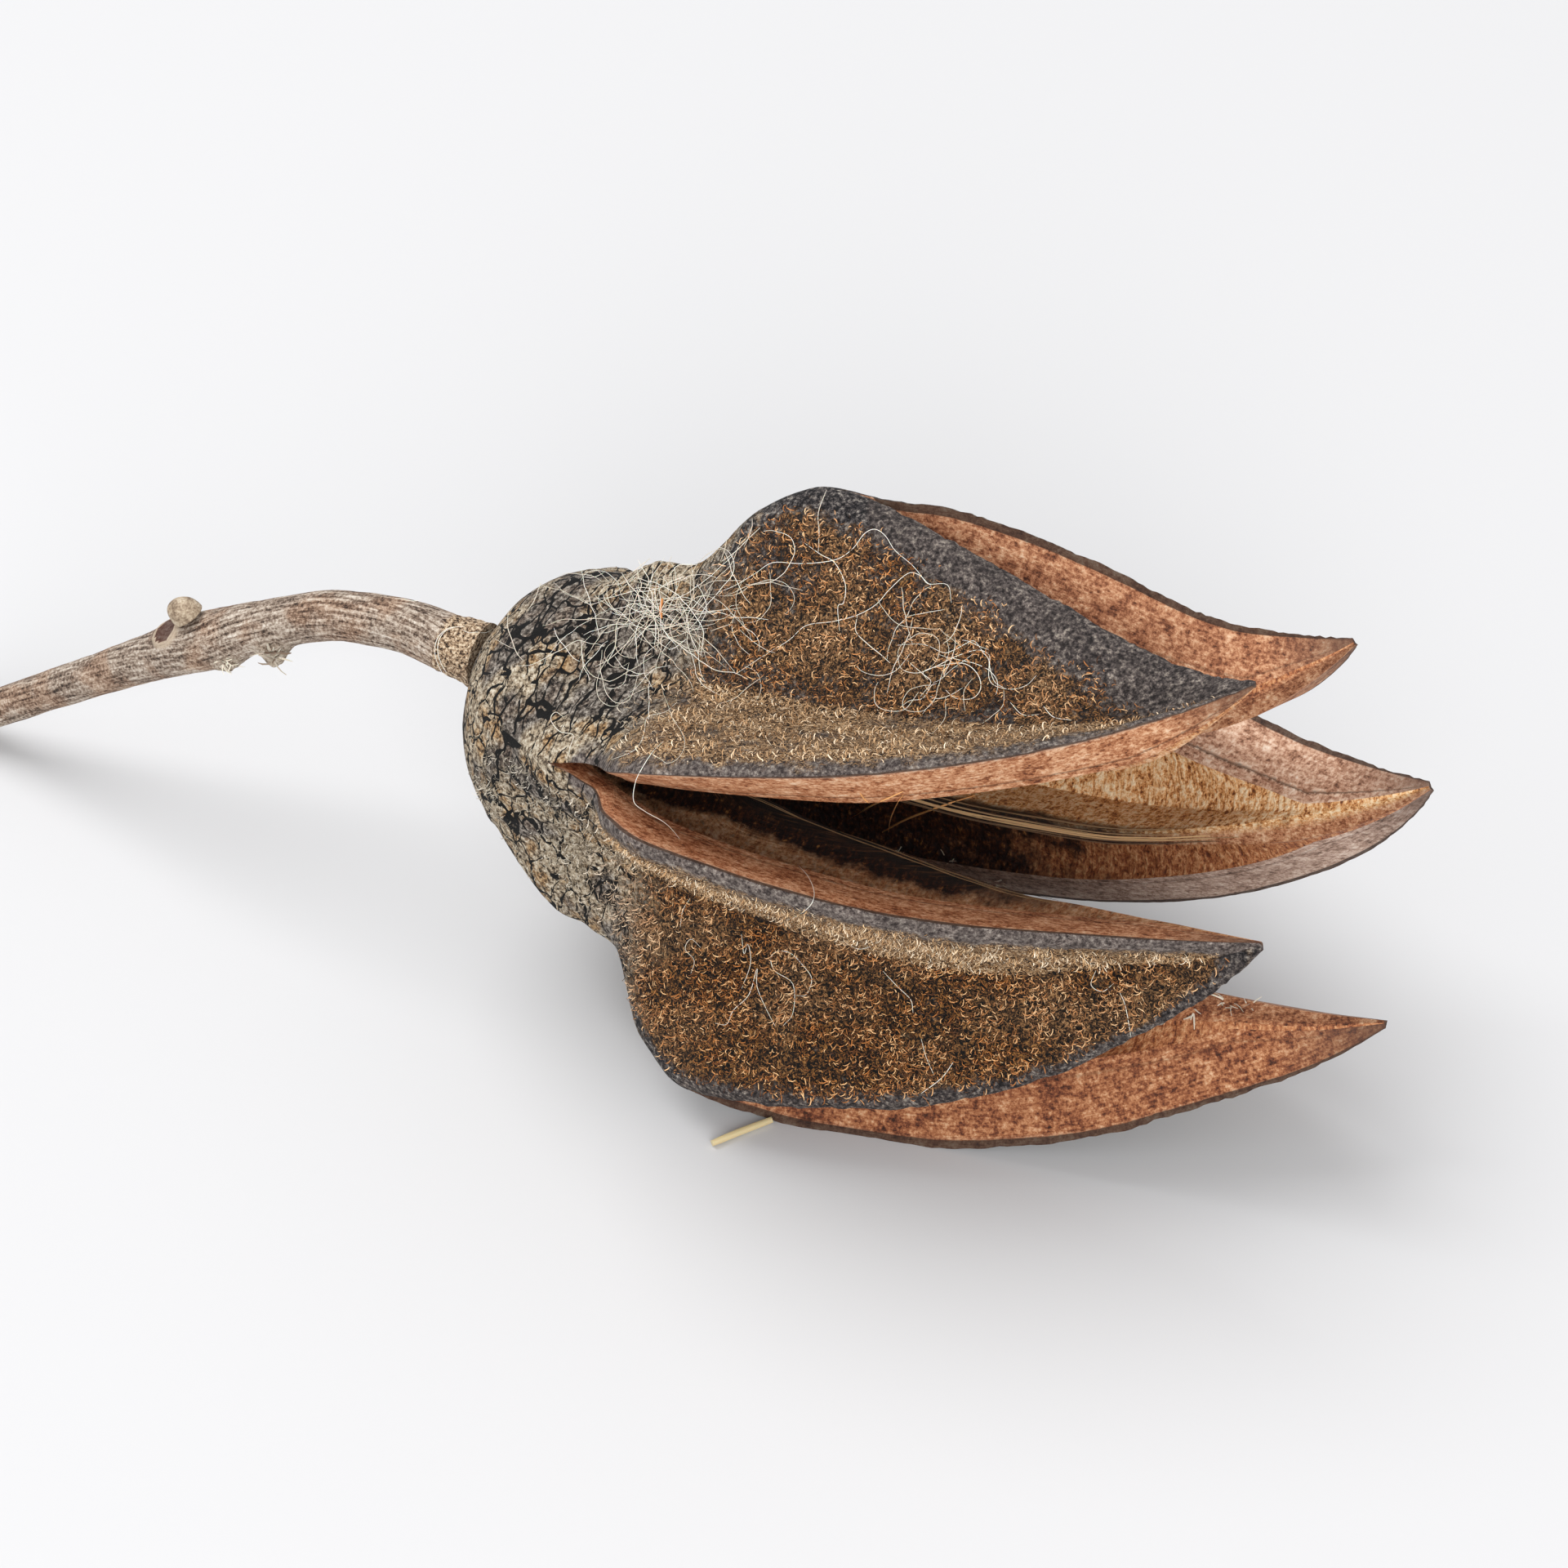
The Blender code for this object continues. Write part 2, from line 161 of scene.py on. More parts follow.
# the camera stands where the photo was taken from
view = {
    "target": (14.51, -1.35, 18.93),  # mm
    "distance": 330.0,
    "azimuth": 29.5,
    "elevation": 40.49,
    "roll": -5.25,
    "lens": 109.5,
    "sensorMm": 36.0,
    "photoSide": 1920,
}


def makeCamera():
    azimuth, elevation = math.radians(view["azimuth"]), math.radians(view["elevation"])
    back = Vector((math.sin(azimuth) * math.cos(elevation), -math.cos(azimuth) * math.cos(elevation),
        math.sin(elevation)))
    camera = newObject("camera", bpy.data.cameras.new("camera"))
    camera.data.lens = view["lens"]
    camera.data.sensor_width = view["sensorMm"]
    camera.data.clip_start = 0.01
    turned = back.to_track_quat("Z", "Y").to_matrix() @ Matrix.Rotation(math.radians(view["roll"]), 3, "Z")
    spot = Vector(view["target"]) * mm + back * view["distance"] * mm
    camera.matrix_world = Matrix.Translation(spot) @ turned.to_4x4()
    scene.camera = camera
    return camera


camera = makeCamera()
report("camera")


# a material, what adds its nodes, the mesh attributes that it reads, and its shader
def newMaterial(name, roughnessValue, specular, *attributes):
    made = bpy.data.materials.new(name)
    made.use_nodes = True
    add = partial(addNode, made.node_tree)
    carried = {label: add("Attribute", attribute_name=label).outputs["Fac"] for label in attributes}
    shader = made.node_tree.nodes["Principled BSDF"]
    feed(shader, {"Roughness": roughnessValue, "Specular IOR Level": specular})
    return made, add, carried, shader


# a pale floor under soft light from overhead
studio = {
    "floorSide": 3.0,  # m
    "floorColour": "#C9C9CA",
    "worldColour": "#F9F9FA",
    "worldStrength": 0.8,
    "lights": (
        # from, size and power in m and W
        ((-0.3, 0.08, 0.8), 0.7, 5.4),
        ((0.36, -0.6, 0.36), 0.45, 3.8),
    ),
}


def makeStudio():
    world = bpy.data.worlds.new("studio")
    scene.world = world
    world.use_nodes = True
    feed(world.node_tree.nodes["Background"], (colour(studio["worldColour"]), studio["worldStrength"]))
    for number, (place, size, power) in enumerate(studio["lights"]):
        data = bpy.data.lights.new(f"softbox{number}", "AREA")
        data.shape = "DISK"
        data.size = size
        data.energy = power
        light = newObject(data.name, data)
        light.location = place
        light.rotation_euler = (Vector(place) - Vector((0.01, 0, 0.02))).to_track_quat("Z", "Y").to_euler()
    half = studio["floorSide"] / 2
    data = bpy.data.meshes.new("floor")
    data.from_pydata([(-half, -half, 0), (half, -half, 0), (half, half, 0), (-half, half, 0)], [],
        [(0, 1, 2, 3)])
    floor = newObject("floor", data)
    paper, _, _, shader = newMaterial("Matt white paper", 0.95, 0.2)
    feed(shader, {"Base Color": colour(studio["floorColour"])})
    data.materials.append(paper)
    scene.view_settings.view_transform = "Standard"


makeStudio()
report("studio")


# a place in mm
def mmPlace(add):
    objectPlace = add("TexCoord").outputs["Object"]
    return add("Mapping", {"Vector": objectPlace, "Scale": (1000, 1000, 1000)})


# The capsule, as in its solids: shares of the length with mm from the centre line, or degrees
capsule = {
    "length": 70.0,
    "halfValve": math.radians(36.0),
    "lineRise": ((0, -12.8), (0.1, -14.2), (0.2, -4.9), (0.45, -1.9), (0.7, 10.9), (1, 37.6)),
    "ridge": (
        (0, 2.8), (0.02, 6.1), (0.05, 8.8), (0.1, 10.9), (0.16, 13.3), (0.22, 13.8), (0.28, 18.6),
        (0.34, 20.6), (0.42, 19.8), (0.55, 17.3), (0.7, 12.9), (0.82, 8.3), (0.92, 4.3), (1, 0.6),
    ),
    "valley": (
        (0, 2.8), (0.02, 6.0), (0.05, 8.5), (0.1, 10.2), (0.2, 9.9), (0.3, 10.1), (0.42, 9.8),
        (0.55, 9.1), (0.7, 7.4), (0.82, 4.7), (0.92, 2.7), (1, 0.4),
    ),
    "chamber": (
        (0.1, 4.0), (0.14, 7.2), (0.22, 11.2), (0.34, 14.6), (0.55, 11.6), (0.7, 7.2), (0.8, 4.2),
        (0.88, 1.6), (1, 0.3),
    ),
    "chamberFrom": 0.1,
    "chamberFull": 0.18,
    "chamberFades": 0.66,
    "chamberTo": 0.9,
    "wall": 1.7,
    "partition": 0.9,
    "partitionEdge": 1.5,
    "edgeOfValley": 0.35,
    "tornFrom": 0.2,
    "tornFull": 0.4,
    "tornOfValley": 0.55,
    "leastWall": 1.8,
    "leastFace": 0.15,
    "hinge": 0.12,
    "roll": math.radians(-7.7),
    "seat": (-8.82, -0.55, 22.6),
}
# how each valve opened, going round from the front, with where the ridge after it has split back to and
# the share it takes to come apart, the least gap there in mm, and how far its partition is torn back
valves = {
    "frontUpper": dict(
        middle=54, out=13.5, tip=0.7, side=3.2, turn=4.9, roll=35.6, on=0.0, wide=1.02,
        split=0.365, blend=0.12, gap=0.15, torn=3.5,
    ),
    "backUpper": dict(
        middle=126, out=9.1, tip=3.2, side=-0.6, turn=2.8, roll=38.6, on=0.0, wide=0.94,
        split=0.3, blend=0.12, gap=0.7, torn=0,
    ),
    "backLower": dict(
        middle=198, out=7.0, tip=-0.6, side=-1.1, turn=-2.0, roll=-7.1, on=-0.8, wide=1.05,
        split=0.3, blend=0.12, gap=0.15, torn=0,
    ),
    "under": dict(
        middle=270, out=10.2, tip=2.2, side=1.3, turn=0.5, roll=-21.6, on=-6.6, wide=1.0,
        split=0.3, blend=0.12, gap=0.15, torn=0,
    ),
    "frontLower": dict(
        middle=342, out=5.6, tip=2.6, side=0.1, turn=4.5, roll=-3.2, on=-8.0, wide=1.05,
        split=0.155, blend=0.06, gap=0.0, torn=0,
    ),
}
order = list(valves)
ridgeRadius = curveThrough(capsule["ridge"])
valleyRadius = curveThrough(capsule["valley"])
chamberRadius = curveThrough(capsule["chamber"])


# distance, x, z and rise along the bent centre line
def centreLine():
    along = np.linspace(0, 1.15 * capsule["length"], 162)
    rise = np.radians(curveThrough(capsule["lineRise"])(along / capsule["length"]))
    ahead, up = np.cos(rise), np.sin(rise)
    x = np.concatenate([[0], np.cumsum((ahead[1:] + ahead[:-1]) / 2 * along[1])])
    z = np.concatenate([[0], np.cumsum((up[1:] + up[:-1]) / 2 * along[1])])
    return along, x, z, rise


line = centreLine()


# the centre line's point there, the way square to it upwards, and the way to the front
def lineFrame(along):
    x, z, rise = (np.interp(along, line[0], values) for values in line[1:])
    zero = np.zeros_like(rise)
    return (np.stack([x, zero, z], -1), np.stack([-np.sin(rise), zero, np.cos(rise)], -1),
        np.stack([zero, zero - 1, zero], -1))


# a point of the closed capsule, out along a valve's middle and across it, where opening put it
def bentOut(name, share, out, across):
    valve = valves[name]
    grown = np.clip(share / 0.3, 0, 1)
    opened = np.clip((share - capsule["hinge"]) / (1 - capsule["hinge"]), 0, 1)
    tip = np.clip((share - 0.72) / 0.28, 0, 1)
    angle = np.radians(valve["middle"] + valve["turn"] * grown)
    roll = np.radians(valve["roll"]) * opened
    wide = 1 + (valve["wide"] - 1) * grown
    valley = valleyRadius(share)
    reach, across = out * wide - valley, across * wide
    out = valley + reach * np.cos(roll) - across * np.sin(roll)
    out = out + valve["out"] * opened**1.1 + valve["tip"] * tip**2
    across = reach * np.sin(roll) + across * np.cos(roll) + valve["side"] * opened**2
    place, up, front = lineFrame(share * capsule["length"] + valve["on"] * opened**2)
    cos, sin = np.cos(angle)[..., None], np.sin(angle)[..., None]
    return place + out[..., None] * (cos * front + sin * up) + across[..., None] * (cos * up - sin * front)


# the same, with ridges held together up to their splits and clear of each other past them
def valvePoint(name, share, out, across):
    share, out, across = np.broadcast_arrays(np.asarray(share, float), out, across)
    place = bentOut(name, share, out, across)
    half = capsule["halfValve"]
    radius = np.hypot(out, across)
    nearRidge = np.clip(np.abs(np.arctan2(across, np.maximum(out, 1e-6))) / half, 0, 1) ** 2
    ridgeOut, ridgeAcross = radius * math.cos(half), radius * math.sin(half)
    _, up, front = lineFrame(share * capsule["length"])
    turn = order.index(name)
    before = order[turn - 1]
    for side, other, ridge in ((1, order[(turn + 1) % 5], valves[name]), (-1, before, valves[before])):
        apart = ease((share - ridge["split"]) / ridge["blend"])[..., None]
        mine = bentOut(name, share, ridgeOut, side * ridgeAcross)
        theirs = bentOut(other, share, ridgeOut, -side * ridgeAcross)
        ridgeAngle = math.radians(valves[name]["middle"]) + side * half
        towards = side * (math.cos(ridgeAngle) * up - math.sin(ridgeAngle) * front)
        gap = ((theirs - mine) * towards).sum(-1)[..., None]
        held = (theirs - mine) / 2 * (1 - apart)
        cleared = towards * np.maximum(ridge["gap"] - gap, 0) / 2 * apart
        place = place + (held - cleared) * (nearRidge * (across * side > 0))[..., None]
    return place


# from the capsule's own frame, in mm, to where it lies, in metres
def laid(points):
    turned = points @ np.array(Euler((capsule["roll"], 0, 0)).to_matrix()).T
    placed = (turned + np.array(capsule["seat"])) * mm
    placed[..., 2] = np.maximum(placed[..., 2], 0)
    return placed


# The husk is one closed skin over the bowl and the valves, finer than its solid
husk = {
    "baseRows": 26,
    "neckRows": 42,
    "valveRows": 104,
    "flankColumns": 26,
    "faceColumns": 7,
    "chamberColumns": 14,
    "partitionColumns": 9,
    "crestWear": 0.22,  # mm, how ragged the split ridges are
    "wearMm": 0.9,  # and how far from the ridge
    "nickMm": (1.1, 0.45),
    "neck": (0.16, 0.32),  # shares where the bark fades
    "faceRipple": 0.12,
    "faceRippleMm": (6.0, 0.8, 1),  # along and across, and one seed
    "chamberRipple": 0.16,
    "chamberRippleMm": (1.3, 4.0, 1),
    "partitionWave": 0.35,
    "waveMm": 7,
    "waveStep": 13.1,  # from one valve's wave to the next
    "bowFrom": (0.19, 0.27),
    "bowTo": (0.5, 0.75),
    "lump": 0.16,
    "lumpMm": 2.6,
    "barkLump": 0.22,
    "barkLumpMm": 1.1,
    "aroundRadius": 11.0,
    "joinMm": 0.004,
}


def bezier(a, b, c, d, t):
    t = np.asarray(t)[:, None]
    a, b, c, d = (np.array(p) for p in (a, b, c, d))
    return (1 - t) ** 3 * a + 3 * t * (1 - t) ** 2 * b + 3 * t * t * (1 - t) * c + t**3 * d


# radius of a partition's free edge
def edgeRadius(name, share):
    torn = valves[name]["torn"] and float(easeFrom(share, capsule["tornFrom"], capsule["tornFull"]))
    ofValley = capsule["edgeOfValley"] + (capsule["tornOfValley"] - capsule["edgeOfValley"]) * torn
    return min(capsule["partitionEdge"] + valves[name]["torn"] * torn,
        float(valleyRadius(share)) * ofValley)


# half of a closed valve's section: over the outside to the ridge, then on round the inside
def halfSection(name, share):
    half = capsule["halfValve"]
    ridge, valley = float(ridgeRadius(share)), float(valleyRadius(share))
    alongRidge = np.array([math.cos(half), math.sin(half)])
    offRidge = np.array([math.sin(half), -math.cos(half)])
    crest = ridge * alongRidge
    flank = math.hypot(crest[0] - valley, crest[1])
    outside = bezier((valley, 0), (valley, 0.22 * flank), crest + 0.2 * flank * offRidge, crest,
        np.linspace(0, 1, husk["flankColumns"] + 1))
    depth = float(easeFrom(share, capsule["chamberFrom"], capsule["chamberFull"]))
    depth *= 1 - float(easeFrom(share, capsule["chamberFades"], capsule["chamberTo"]))
    freeRadius = edgeRadius(name, share)
    least = freeRadius + capsule["leastFace"] * (ridge - freeRadius)
    chamber = max(min(float(chamberRadius(share)), ridge - capsule["leastWall"]), least)
    rim = chamber * alongRidge
    halfThick = min(capsule["partition"] / 2, 0.3 * freeRadius)
    root = np.array([valley - min(capsule["wall"], 0.4 * valley), halfThick])
    reach = math.hypot(*(rim - root))
    wall = bezier(rim, rim + 0.3 * reach * offRidge, root + 0.25 * reach * np.array([0.45, 0.9]), root,
        np.linspace(0, 1, husk["chamberColumns"] + 1))
    freeEdge = np.array([freeRadius, halfThick])
    steps = np.linspace(0, 1, husk["partitionColumns"] + 1)[1:, None]
    hollow = np.vstack([wall, root + (freeEdge - root) * steps])
    filledEnd = freeRadius * alongRidge
    filled = rim + (filledEnd - rim) * np.linspace(0, 1, len(hollow))[:, None]
    inside = filled + (hollow - filled) * depth
    steps = np.linspace(0, 1, husk["faceColumns"] + 1)[:-1, None]
    face = crest + (rim - crest) * steps
    return outside, np.vstack([face, inside]), depth


# what each wing of a valve wears outside: how thick its down is, how pale, and how wide the bare strip
# along its ridge is, in mm, near the split's start and near the tip; side 1 is towards the next valve
wings = {
    ("frontUpper", 1): dict(down=0.62, pale=0.12, strip=(1.6, 4.8), bald=0.75),
    ("frontUpper", -1): dict(down=0.4, pale=0.7, strip=(0.6, 0.3), bald=0.6),
    ("backUpper", 1): dict(down=0.85, pale=0.4, strip=(1.4, 1.4), bald=0.8),
    ("backUpper", -1): dict(down=0.6, pale=0.25, strip=(2.0, 3.4), bald=0.8),
    ("backLower", 1): dict(down=0.8, pale=0.4, strip=(1.6, 1.4), bald=0.8),
    ("backLower", -1): dict(down=0.7, pale=0.35, strip=(1.8, 1.6), bald=0.8),
    ("under", 1): dict(down=0.7, pale=0.3, strip=(1.6, 1.4), bald=0.8),
    ("under", -1): dict(down=0.85, pale=0.45, strip=(1.4, 1.4), bald=0.8),
    ("frontLower", 1): dict(down=1.0, pale=0.85, strip=(0.9, 1.6), bald=0.5),
    ("frontLower", -1): dict(down=1.0, pale=0.05, strip=(1.7, 0.35), bald=0.6),
}
# inside: how grey a split face has weathered, how dark its chamber and the partition's edge are, partly real
# stain and partly painted shade, how red the face and the chamber are, which also paints each face's shade
# and light, and how far the face bows out, in mm
insides = {
    ("frontUpper", 1): dict(grey=0.1, stain=(0.6, 0.6), red=(0.5, 0.5)),
    ("frontUpper", -1): dict(grey=0.0, stain=(0.3, 0.3), red=(0.3, 0.3), bow=1.0),
    ("backUpper", 1): dict(grey=0.1, stain=(0.3, 0.3), red=(0.4, 0.4)),
    ("backUpper", -1): dict(grey=0.05, stain=(0.2, 0.2), red=(0.75, 0.75)),
    ("backLower", 1): dict(grey=0.85, stain=(0.62, 0.62), red=(0.75, 0.75)),
    ("backLower", -1): dict(grey=0.5, stain=(-0.25, -0.25), red=(0.0, 0.0)),
    ("under", 1): dict(grey=0.0, stain=(0.0, 0.0), red=(1.0, 1.0)),
    ("under", -1): dict(grey=0.3, stain=(0.4, 0.4), red=(0.6, 0.6)),
    ("frontLower", 1): dict(grey=0.0, stain=(-0.5, 1.0), red=(0.5, 0.32)),
    ("frontLower", -1): dict(grey=0.1, stain=(0.5, 0.5), red=(0.6, 0.6)),
}


def stationShares():
    base = capsule["chamberFrom"] * np.linspace(0, 1, husk["baseRows"], endpoint=False) ** 1.4
    neck = np.linspace(capsule["chamberFrom"], 0.32, husk["neckRows"], endpoint=False)
    return np.concatenate([base, neck, np.linspace(0.32, 1, husk["valveRows"])])


# one growing list of corners with what each carries, and the faces between them
class Skin:
    def __init__(self):
        self.corners, self.faces, self.kinds = [], [], []
        self.carried = {name: [] for name in ("alongMm", "aroundMm", "crestMm", "faceShare", "valveNo",
            "down", "pale", "neck", "stain", "red")}
        self.count = 0

    # the columns before the first are there already
    def add(self, places, first, **carried):
        for name, store in self.carried.items():
            store.append(np.broadcast_to(carried.get(name, 0.0), places.shape[:2])[:, first:].ravel())
        corners = places[:, first:].reshape(-1, 3)
        self.corners.append(corners)
        self.count += len(corners)
        return np.arange(self.count - len(corners), self.count).reshape(len(places), -1)

    def quads(self, grid, kind, keep=None):
        a, b, c, d = grid[:-1, :-1], grid[:-1, 1:], grid[1:, 1:], grid[1:, :-1]
        faces = np.stack([a, b, c, d], -1)
        if keep is not None:
            faces = faces[keep]
        faces = faces.reshape(-1, 4)
        self.faces.append(faces)
        self.kinds.append(np.full(len(faces), kind))


# how far along its row each point is
def lengthsAlong(rows):
    made = np.zeros(rows.shape[:2])
    made[:, 1:] = np.cumsum(np.hypot(*np.moveaxis(np.diff(rows, axis=1), -1, 0)), axis=1)
    return made


def buildHusk():
    shares = stationShares()
    inner = shares >= capsule["chamberFrom"] - 1e-9
    sections = {name: [halfSection(name, share) for share in shares] for name in order}
    outside = np.array([s[0] for s in sections[order[0]]])
    depth = np.array([s[2] for s in sections[order[0]]])[:, None]
    alongMm = shares[:, None] * capsule["length"]
    faceColumns, chamberColumns = husk["faceColumns"], husk["chamberColumns"]
    flankMm = lengthsAlong(outside)
    fromCrest = flankMm[:, -1:] - flankMm
    neck = 1 - easeFrom(shares[:, None], *husk["neck"])
    skin = Skin()
    made = {}
    for turn, name in enumerate(order):
        grids = {}
        inside = np.array([s[1] for s in sections[name]])
        insideMm = lengthsAlong(inside)
        for side in (1, -1):
            split = valves[name]["split"] if side == 1 else valves[order[turn - 1]]["split"]
            opened = ease((shares[:, None] - split) / 0.05)
            seed = turn * 31.7 + side * 7.3
            # the split edge is a little worn and nicked
            ridgePlace = stacked(alongMm[:, 0], seed, 0)
            nick = np.abs(roughness(ridgePlace, husk["nickMm"][0]))
            nick += 0.6 * np.abs(roughness(ridgePlace, husk["nickMm"][1], 5.1))
            wear = husk["crestWear"] * nick[:, None] * opened
            nearCrest = np.exp(-((fromCrest / husk["wearMm"]) ** 2)) * wear
            shape = outside.copy()
            ridgeWay = np.array([math.cos(capsule["halfValve"]), math.sin(capsule["halfValve"])])
            shape -= nearCrest[..., None] * ridgeWay
            # low lumps and the coarser ones of the bark, the same on both sides of a ridge
            turned = np.radians(valves[name]["middle"]) + side * np.arctan2(outside[..., 1],
                outside[..., 0])
            reach = np.hypot(outside[..., 0], outside[..., 1])
            ring = stacked(alongMm, reach * np.cos(turned), reach * np.sin(turned))
            lump = husk["lump"] * roughness(ring, husk["lumpMm"])
            lump += husk["barkLump"] * neck * roughness(ring, husk["barkLumpMm"], 4.4)
            shape *= (1 + lump * ease((shares[:, None] - 0.03) / 0.05) / np.maximum(reach, 1))[..., None]
            places = valvePoint(name, shares[:, None], shape[..., 0], side * shape[..., 1])
            wing = wings[name, side]
            thick, pale = wing["down"], wing["pale"]
            strip = np.interp(shares[:, None], (0.3, 0.8), wing["strip"])
            clump = roughness(stacked(alongMm / 5, flankMm / 3, seed))
            down = ease((fromCrest - strip * (0.75 + 0.5 * clump)) / 1.6) * thick
            down = np.clip(down * (1 + 0.5 * clump) - wing["bald"] * neck, 0, 1)
            down = down * ease((shares[:, None] - 0.04) / 0.05)
            tips = 1 - ease((shares[:, None] - 0.9) / 0.08)
            inward = fromCrest - strip
            ids = skin.add(places, 0 if side == 1 else 1, alongMm=alongMm, aroundMm=turned
                * husk["aroundRadius"], crestMm=inward * (1 - 0.5 * ease(inward)) + 6 * (1 - opened),
                valveNo=turn, down=down * tips, pale=np.clip(pale + 0.25 * clump, 0, 1), neck=neck)
            # split face, chamber wall and partition
            ripplePlace = stacked(alongMm, insideMm, seed)
            within = inside.copy()
            waves = np.zeros(inside.shape[:2])
            onFace = slice(1, faceColumns)
            waves[:, onFace] = husk["faceRipple"] * roughness(ripplePlace[:, onFace] / husk["faceRippleMm"])
            onWall = slice(faceColumns + 1, faceColumns + chamberColumns)
            waves[:, onWall] = husk["chamberRipple"] * roughness(ripplePlace[:, onWall]
                / husk["chamberRippleMm"])
            within[..., 1] += waves * depth
            bowed = ease(np.interp(shares, husk["bowFrom"], (0, 1))) * ease(
                np.interp(shares, husk["bowTo"], (1, 0)))
            column = np.arange(inside.shape[1])
            bowed = bowed[:, None] * np.interp(column, (0, faceColumns, faceColumns + chamberColumns),
                (0, 1, 0))
            within += insides[name, side].get("bow", 0) * bowed[..., None] * (-ridgeWay[1], ridgeWay[0])
            across = side * within[..., 1]
            flap = roughness(stacked(alongMm[:, 0] / husk["waveMm"], turn * husk["waveStep"], 0))
            partitionShare = np.clip((column - faceColumns - chamberColumns) / husk["partitionColumns"], 0,
                1)
            # darkness of the chamber and the partition's edge: partly real stain, partly painted shade
            stain = np.interp(partitionShare, (0.3, 1), insides[name, side]["stain"])
            red = np.interp(column, (faceColumns, faceColumns + 2), insides[name, side]["red"])
            across = across + husk["partitionWave"] * flap[:, None] * depth * partitionShare
            innerPlaces = valvePoint(name, shares[inner][:, None], within[inner][..., 0], across[inner])
            innerPlaces[:, 0] = places[inner][:, -1]
            faceShare = np.clip(column / faceColumns, 0, 1) + partitionShare
            newIds = skin.add(innerPlaces, 1, alongMm=alongMm[inner], crestMm=insideMm[inner],
                faceShare=faceShare, pale=insides[name, side]["grey"], stain=stain, red=red,
                neck=neck[inner], valveNo=turn + 0.2 * side)
            grids[side] = (ids, np.hstack([ids[inner][:, -1:], newIds]))
        made[name] = grids
    return closeHusk(skin, made, inner)


# the grids' corners become one mesh with its materials, closed at both ends
def closeHusk(skin, made, inner):
    faceColumns, chamberColumns = husk["faceColumns"], husk["chamberColumns"]
    corners, edges = np.vstack(skin.corners), []
    # corners of neighbouring valves that lie together become one
    keys = np.round(corners / husk["joinMm"]).astype(np.int64)
    _, firstIds, renamed = np.unique(keys, axis=0, return_index=True, return_inverse=True)
    renamed = renamed.reshape(-1)
    for turn, name in enumerate(order):
        grids = made[name]
        high, low = grids[1][0], grids[-1][0]
        skin.quads(np.hstack([low[:, ::-1], high]), 0)
        for side in (1, -1):
            # a split face begins where the two crests part
            theirs = made[order[(turn + side) % len(order)]][-side][0]
            joined = (renamed[grids[side][0][:, -1]] == renamed[theirs[:, -1]])[inner]
            keepFace = ~(joined[:-1] & joined[1:])
            innerIds = grids[side][1]
            skin.quads(innerIds[:, : faceColumns + 1], 1, np.repeat(keepFace[:, None], faceColumns, 1))
            skin.quads(innerIds[:, faceColumns : faceColumns + chamberColumns + 1], 2)
            skin.quads(innerIds[:, faceColumns + chamberColumns :], 3)
        skin.quads(np.stack([grids[1][1][:, -1], grids[-1][1][:, -1]], 1), 3)
        edges.append(list(low[-1, ::-1]) + list(high[-1]) + list(grids[1][1][-1, 1:])
            + list(grids[-1][1][-1, :0:-1]))
    faces = renamed[np.vstack(skin.faces)]
    kinds = np.concatenate(skin.kinds)
    polygons, polygonKinds = [], []
    caps = [[int(renamed[v]) for v in cap] for cap in edges]
    for face, kind in zip(faces.tolist() + caps, kinds.tolist() + [1] * len(caps)):
        ring = [v for v, w in zip(face, face[1:] + face[:1]) if v != w]
        if len(ring) > 2:
            polygons.append(ring)
            polygonKinds.append(kind)
    data = bpy.data.meshes.new("capsuleHusk")
    data.from_pydata(laid(corners[firstIds]).tolist(), [], polygons)
    data.polygons.foreach_set("material_index", polygonKinds)
    carry(data, {name: np.concatenate(store)[firstIds] for name, store in skin.carried.items()})
    mesh = bmesh.new()
    mesh.from_mesh(data)
    bmesh.ops.delete(mesh, geom=[v for v in mesh.verts if not v.link_faces], context="VERTS")
    bmesh.ops.holes_fill(mesh, edges=[e for e in mesh.edges if e.is_boundary], sides=0)
    bmesh.ops.triangulate(mesh, faces=[f for f in mesh.faces if len(f.verts) > 4])
    bmesh.ops.recalc_face_normals(mesh, faces=mesh.faces)
    print("husk open edges:", sum(1 for e in mesh.edges if not e.is_manifold))
    mesh.to_mesh(data)
    mesh.free()
    data.shade_smooth()
    data.set_sharp_from_angle(angle=math.radians(52))
    return newObject("capsuleHusk", data)


huskPiece = buildHusk()
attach(huskPiece, "root")
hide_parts("capsule")
report("husk")


# Weathered husk skin: a charcoal rind under curled golden-brown down, bare and slate grey along the
# split ridges, and bark-like with black cracks round the neck. Dull all over.
skinLook = {
    "plateMm": (1.2, 2.6),  # along and round, of the plates between fine cracks
    "crackShare": 0.062,  # half the width of a fine crack in plates
    "tornMm": (2.6, 8.0),  # the same of the long cracks that run round
    "tornShare": 0.05,
    "nearStemMm": (6.0, 14.0),
    # size in mm, detail and roughness of speck, curl, clump and patch, and how far the curl is bent
    "noises": ((0.34, 4.0, 0.72), (0.36, 3.0, 0.7, 2.0, 1.8), (1.7, 4.0, 0.6), (5.5, 2.0, 0.5)),
}


# a pattern's place from what the mesh carries, each times its factor
def surfacePlace(add, *parts):
    return add("CombineXYZ", [add("Math", part, operation="MULTIPLY") for part in parts])


# black where plates of that size part, along and round
def crackLines(add, carried, warp, plateMm, width):
    sheet = surfacePlace(add, (carried["alongMm"], 1 / plateMm[0]), (carried["aroundMm"], 1 / plateMm[1]))
    sheet = add("VectorMath", (sheet, warp), operation="ADD")
    plates = add("TexVoronoi", {"Vector": sheet, "Scale": 1.0}, feature="DISTANCE_TO_EDGE",
        voronoi_dimensions="2D")
    return add("Math", (plates, width), operation="LESS_THAN")


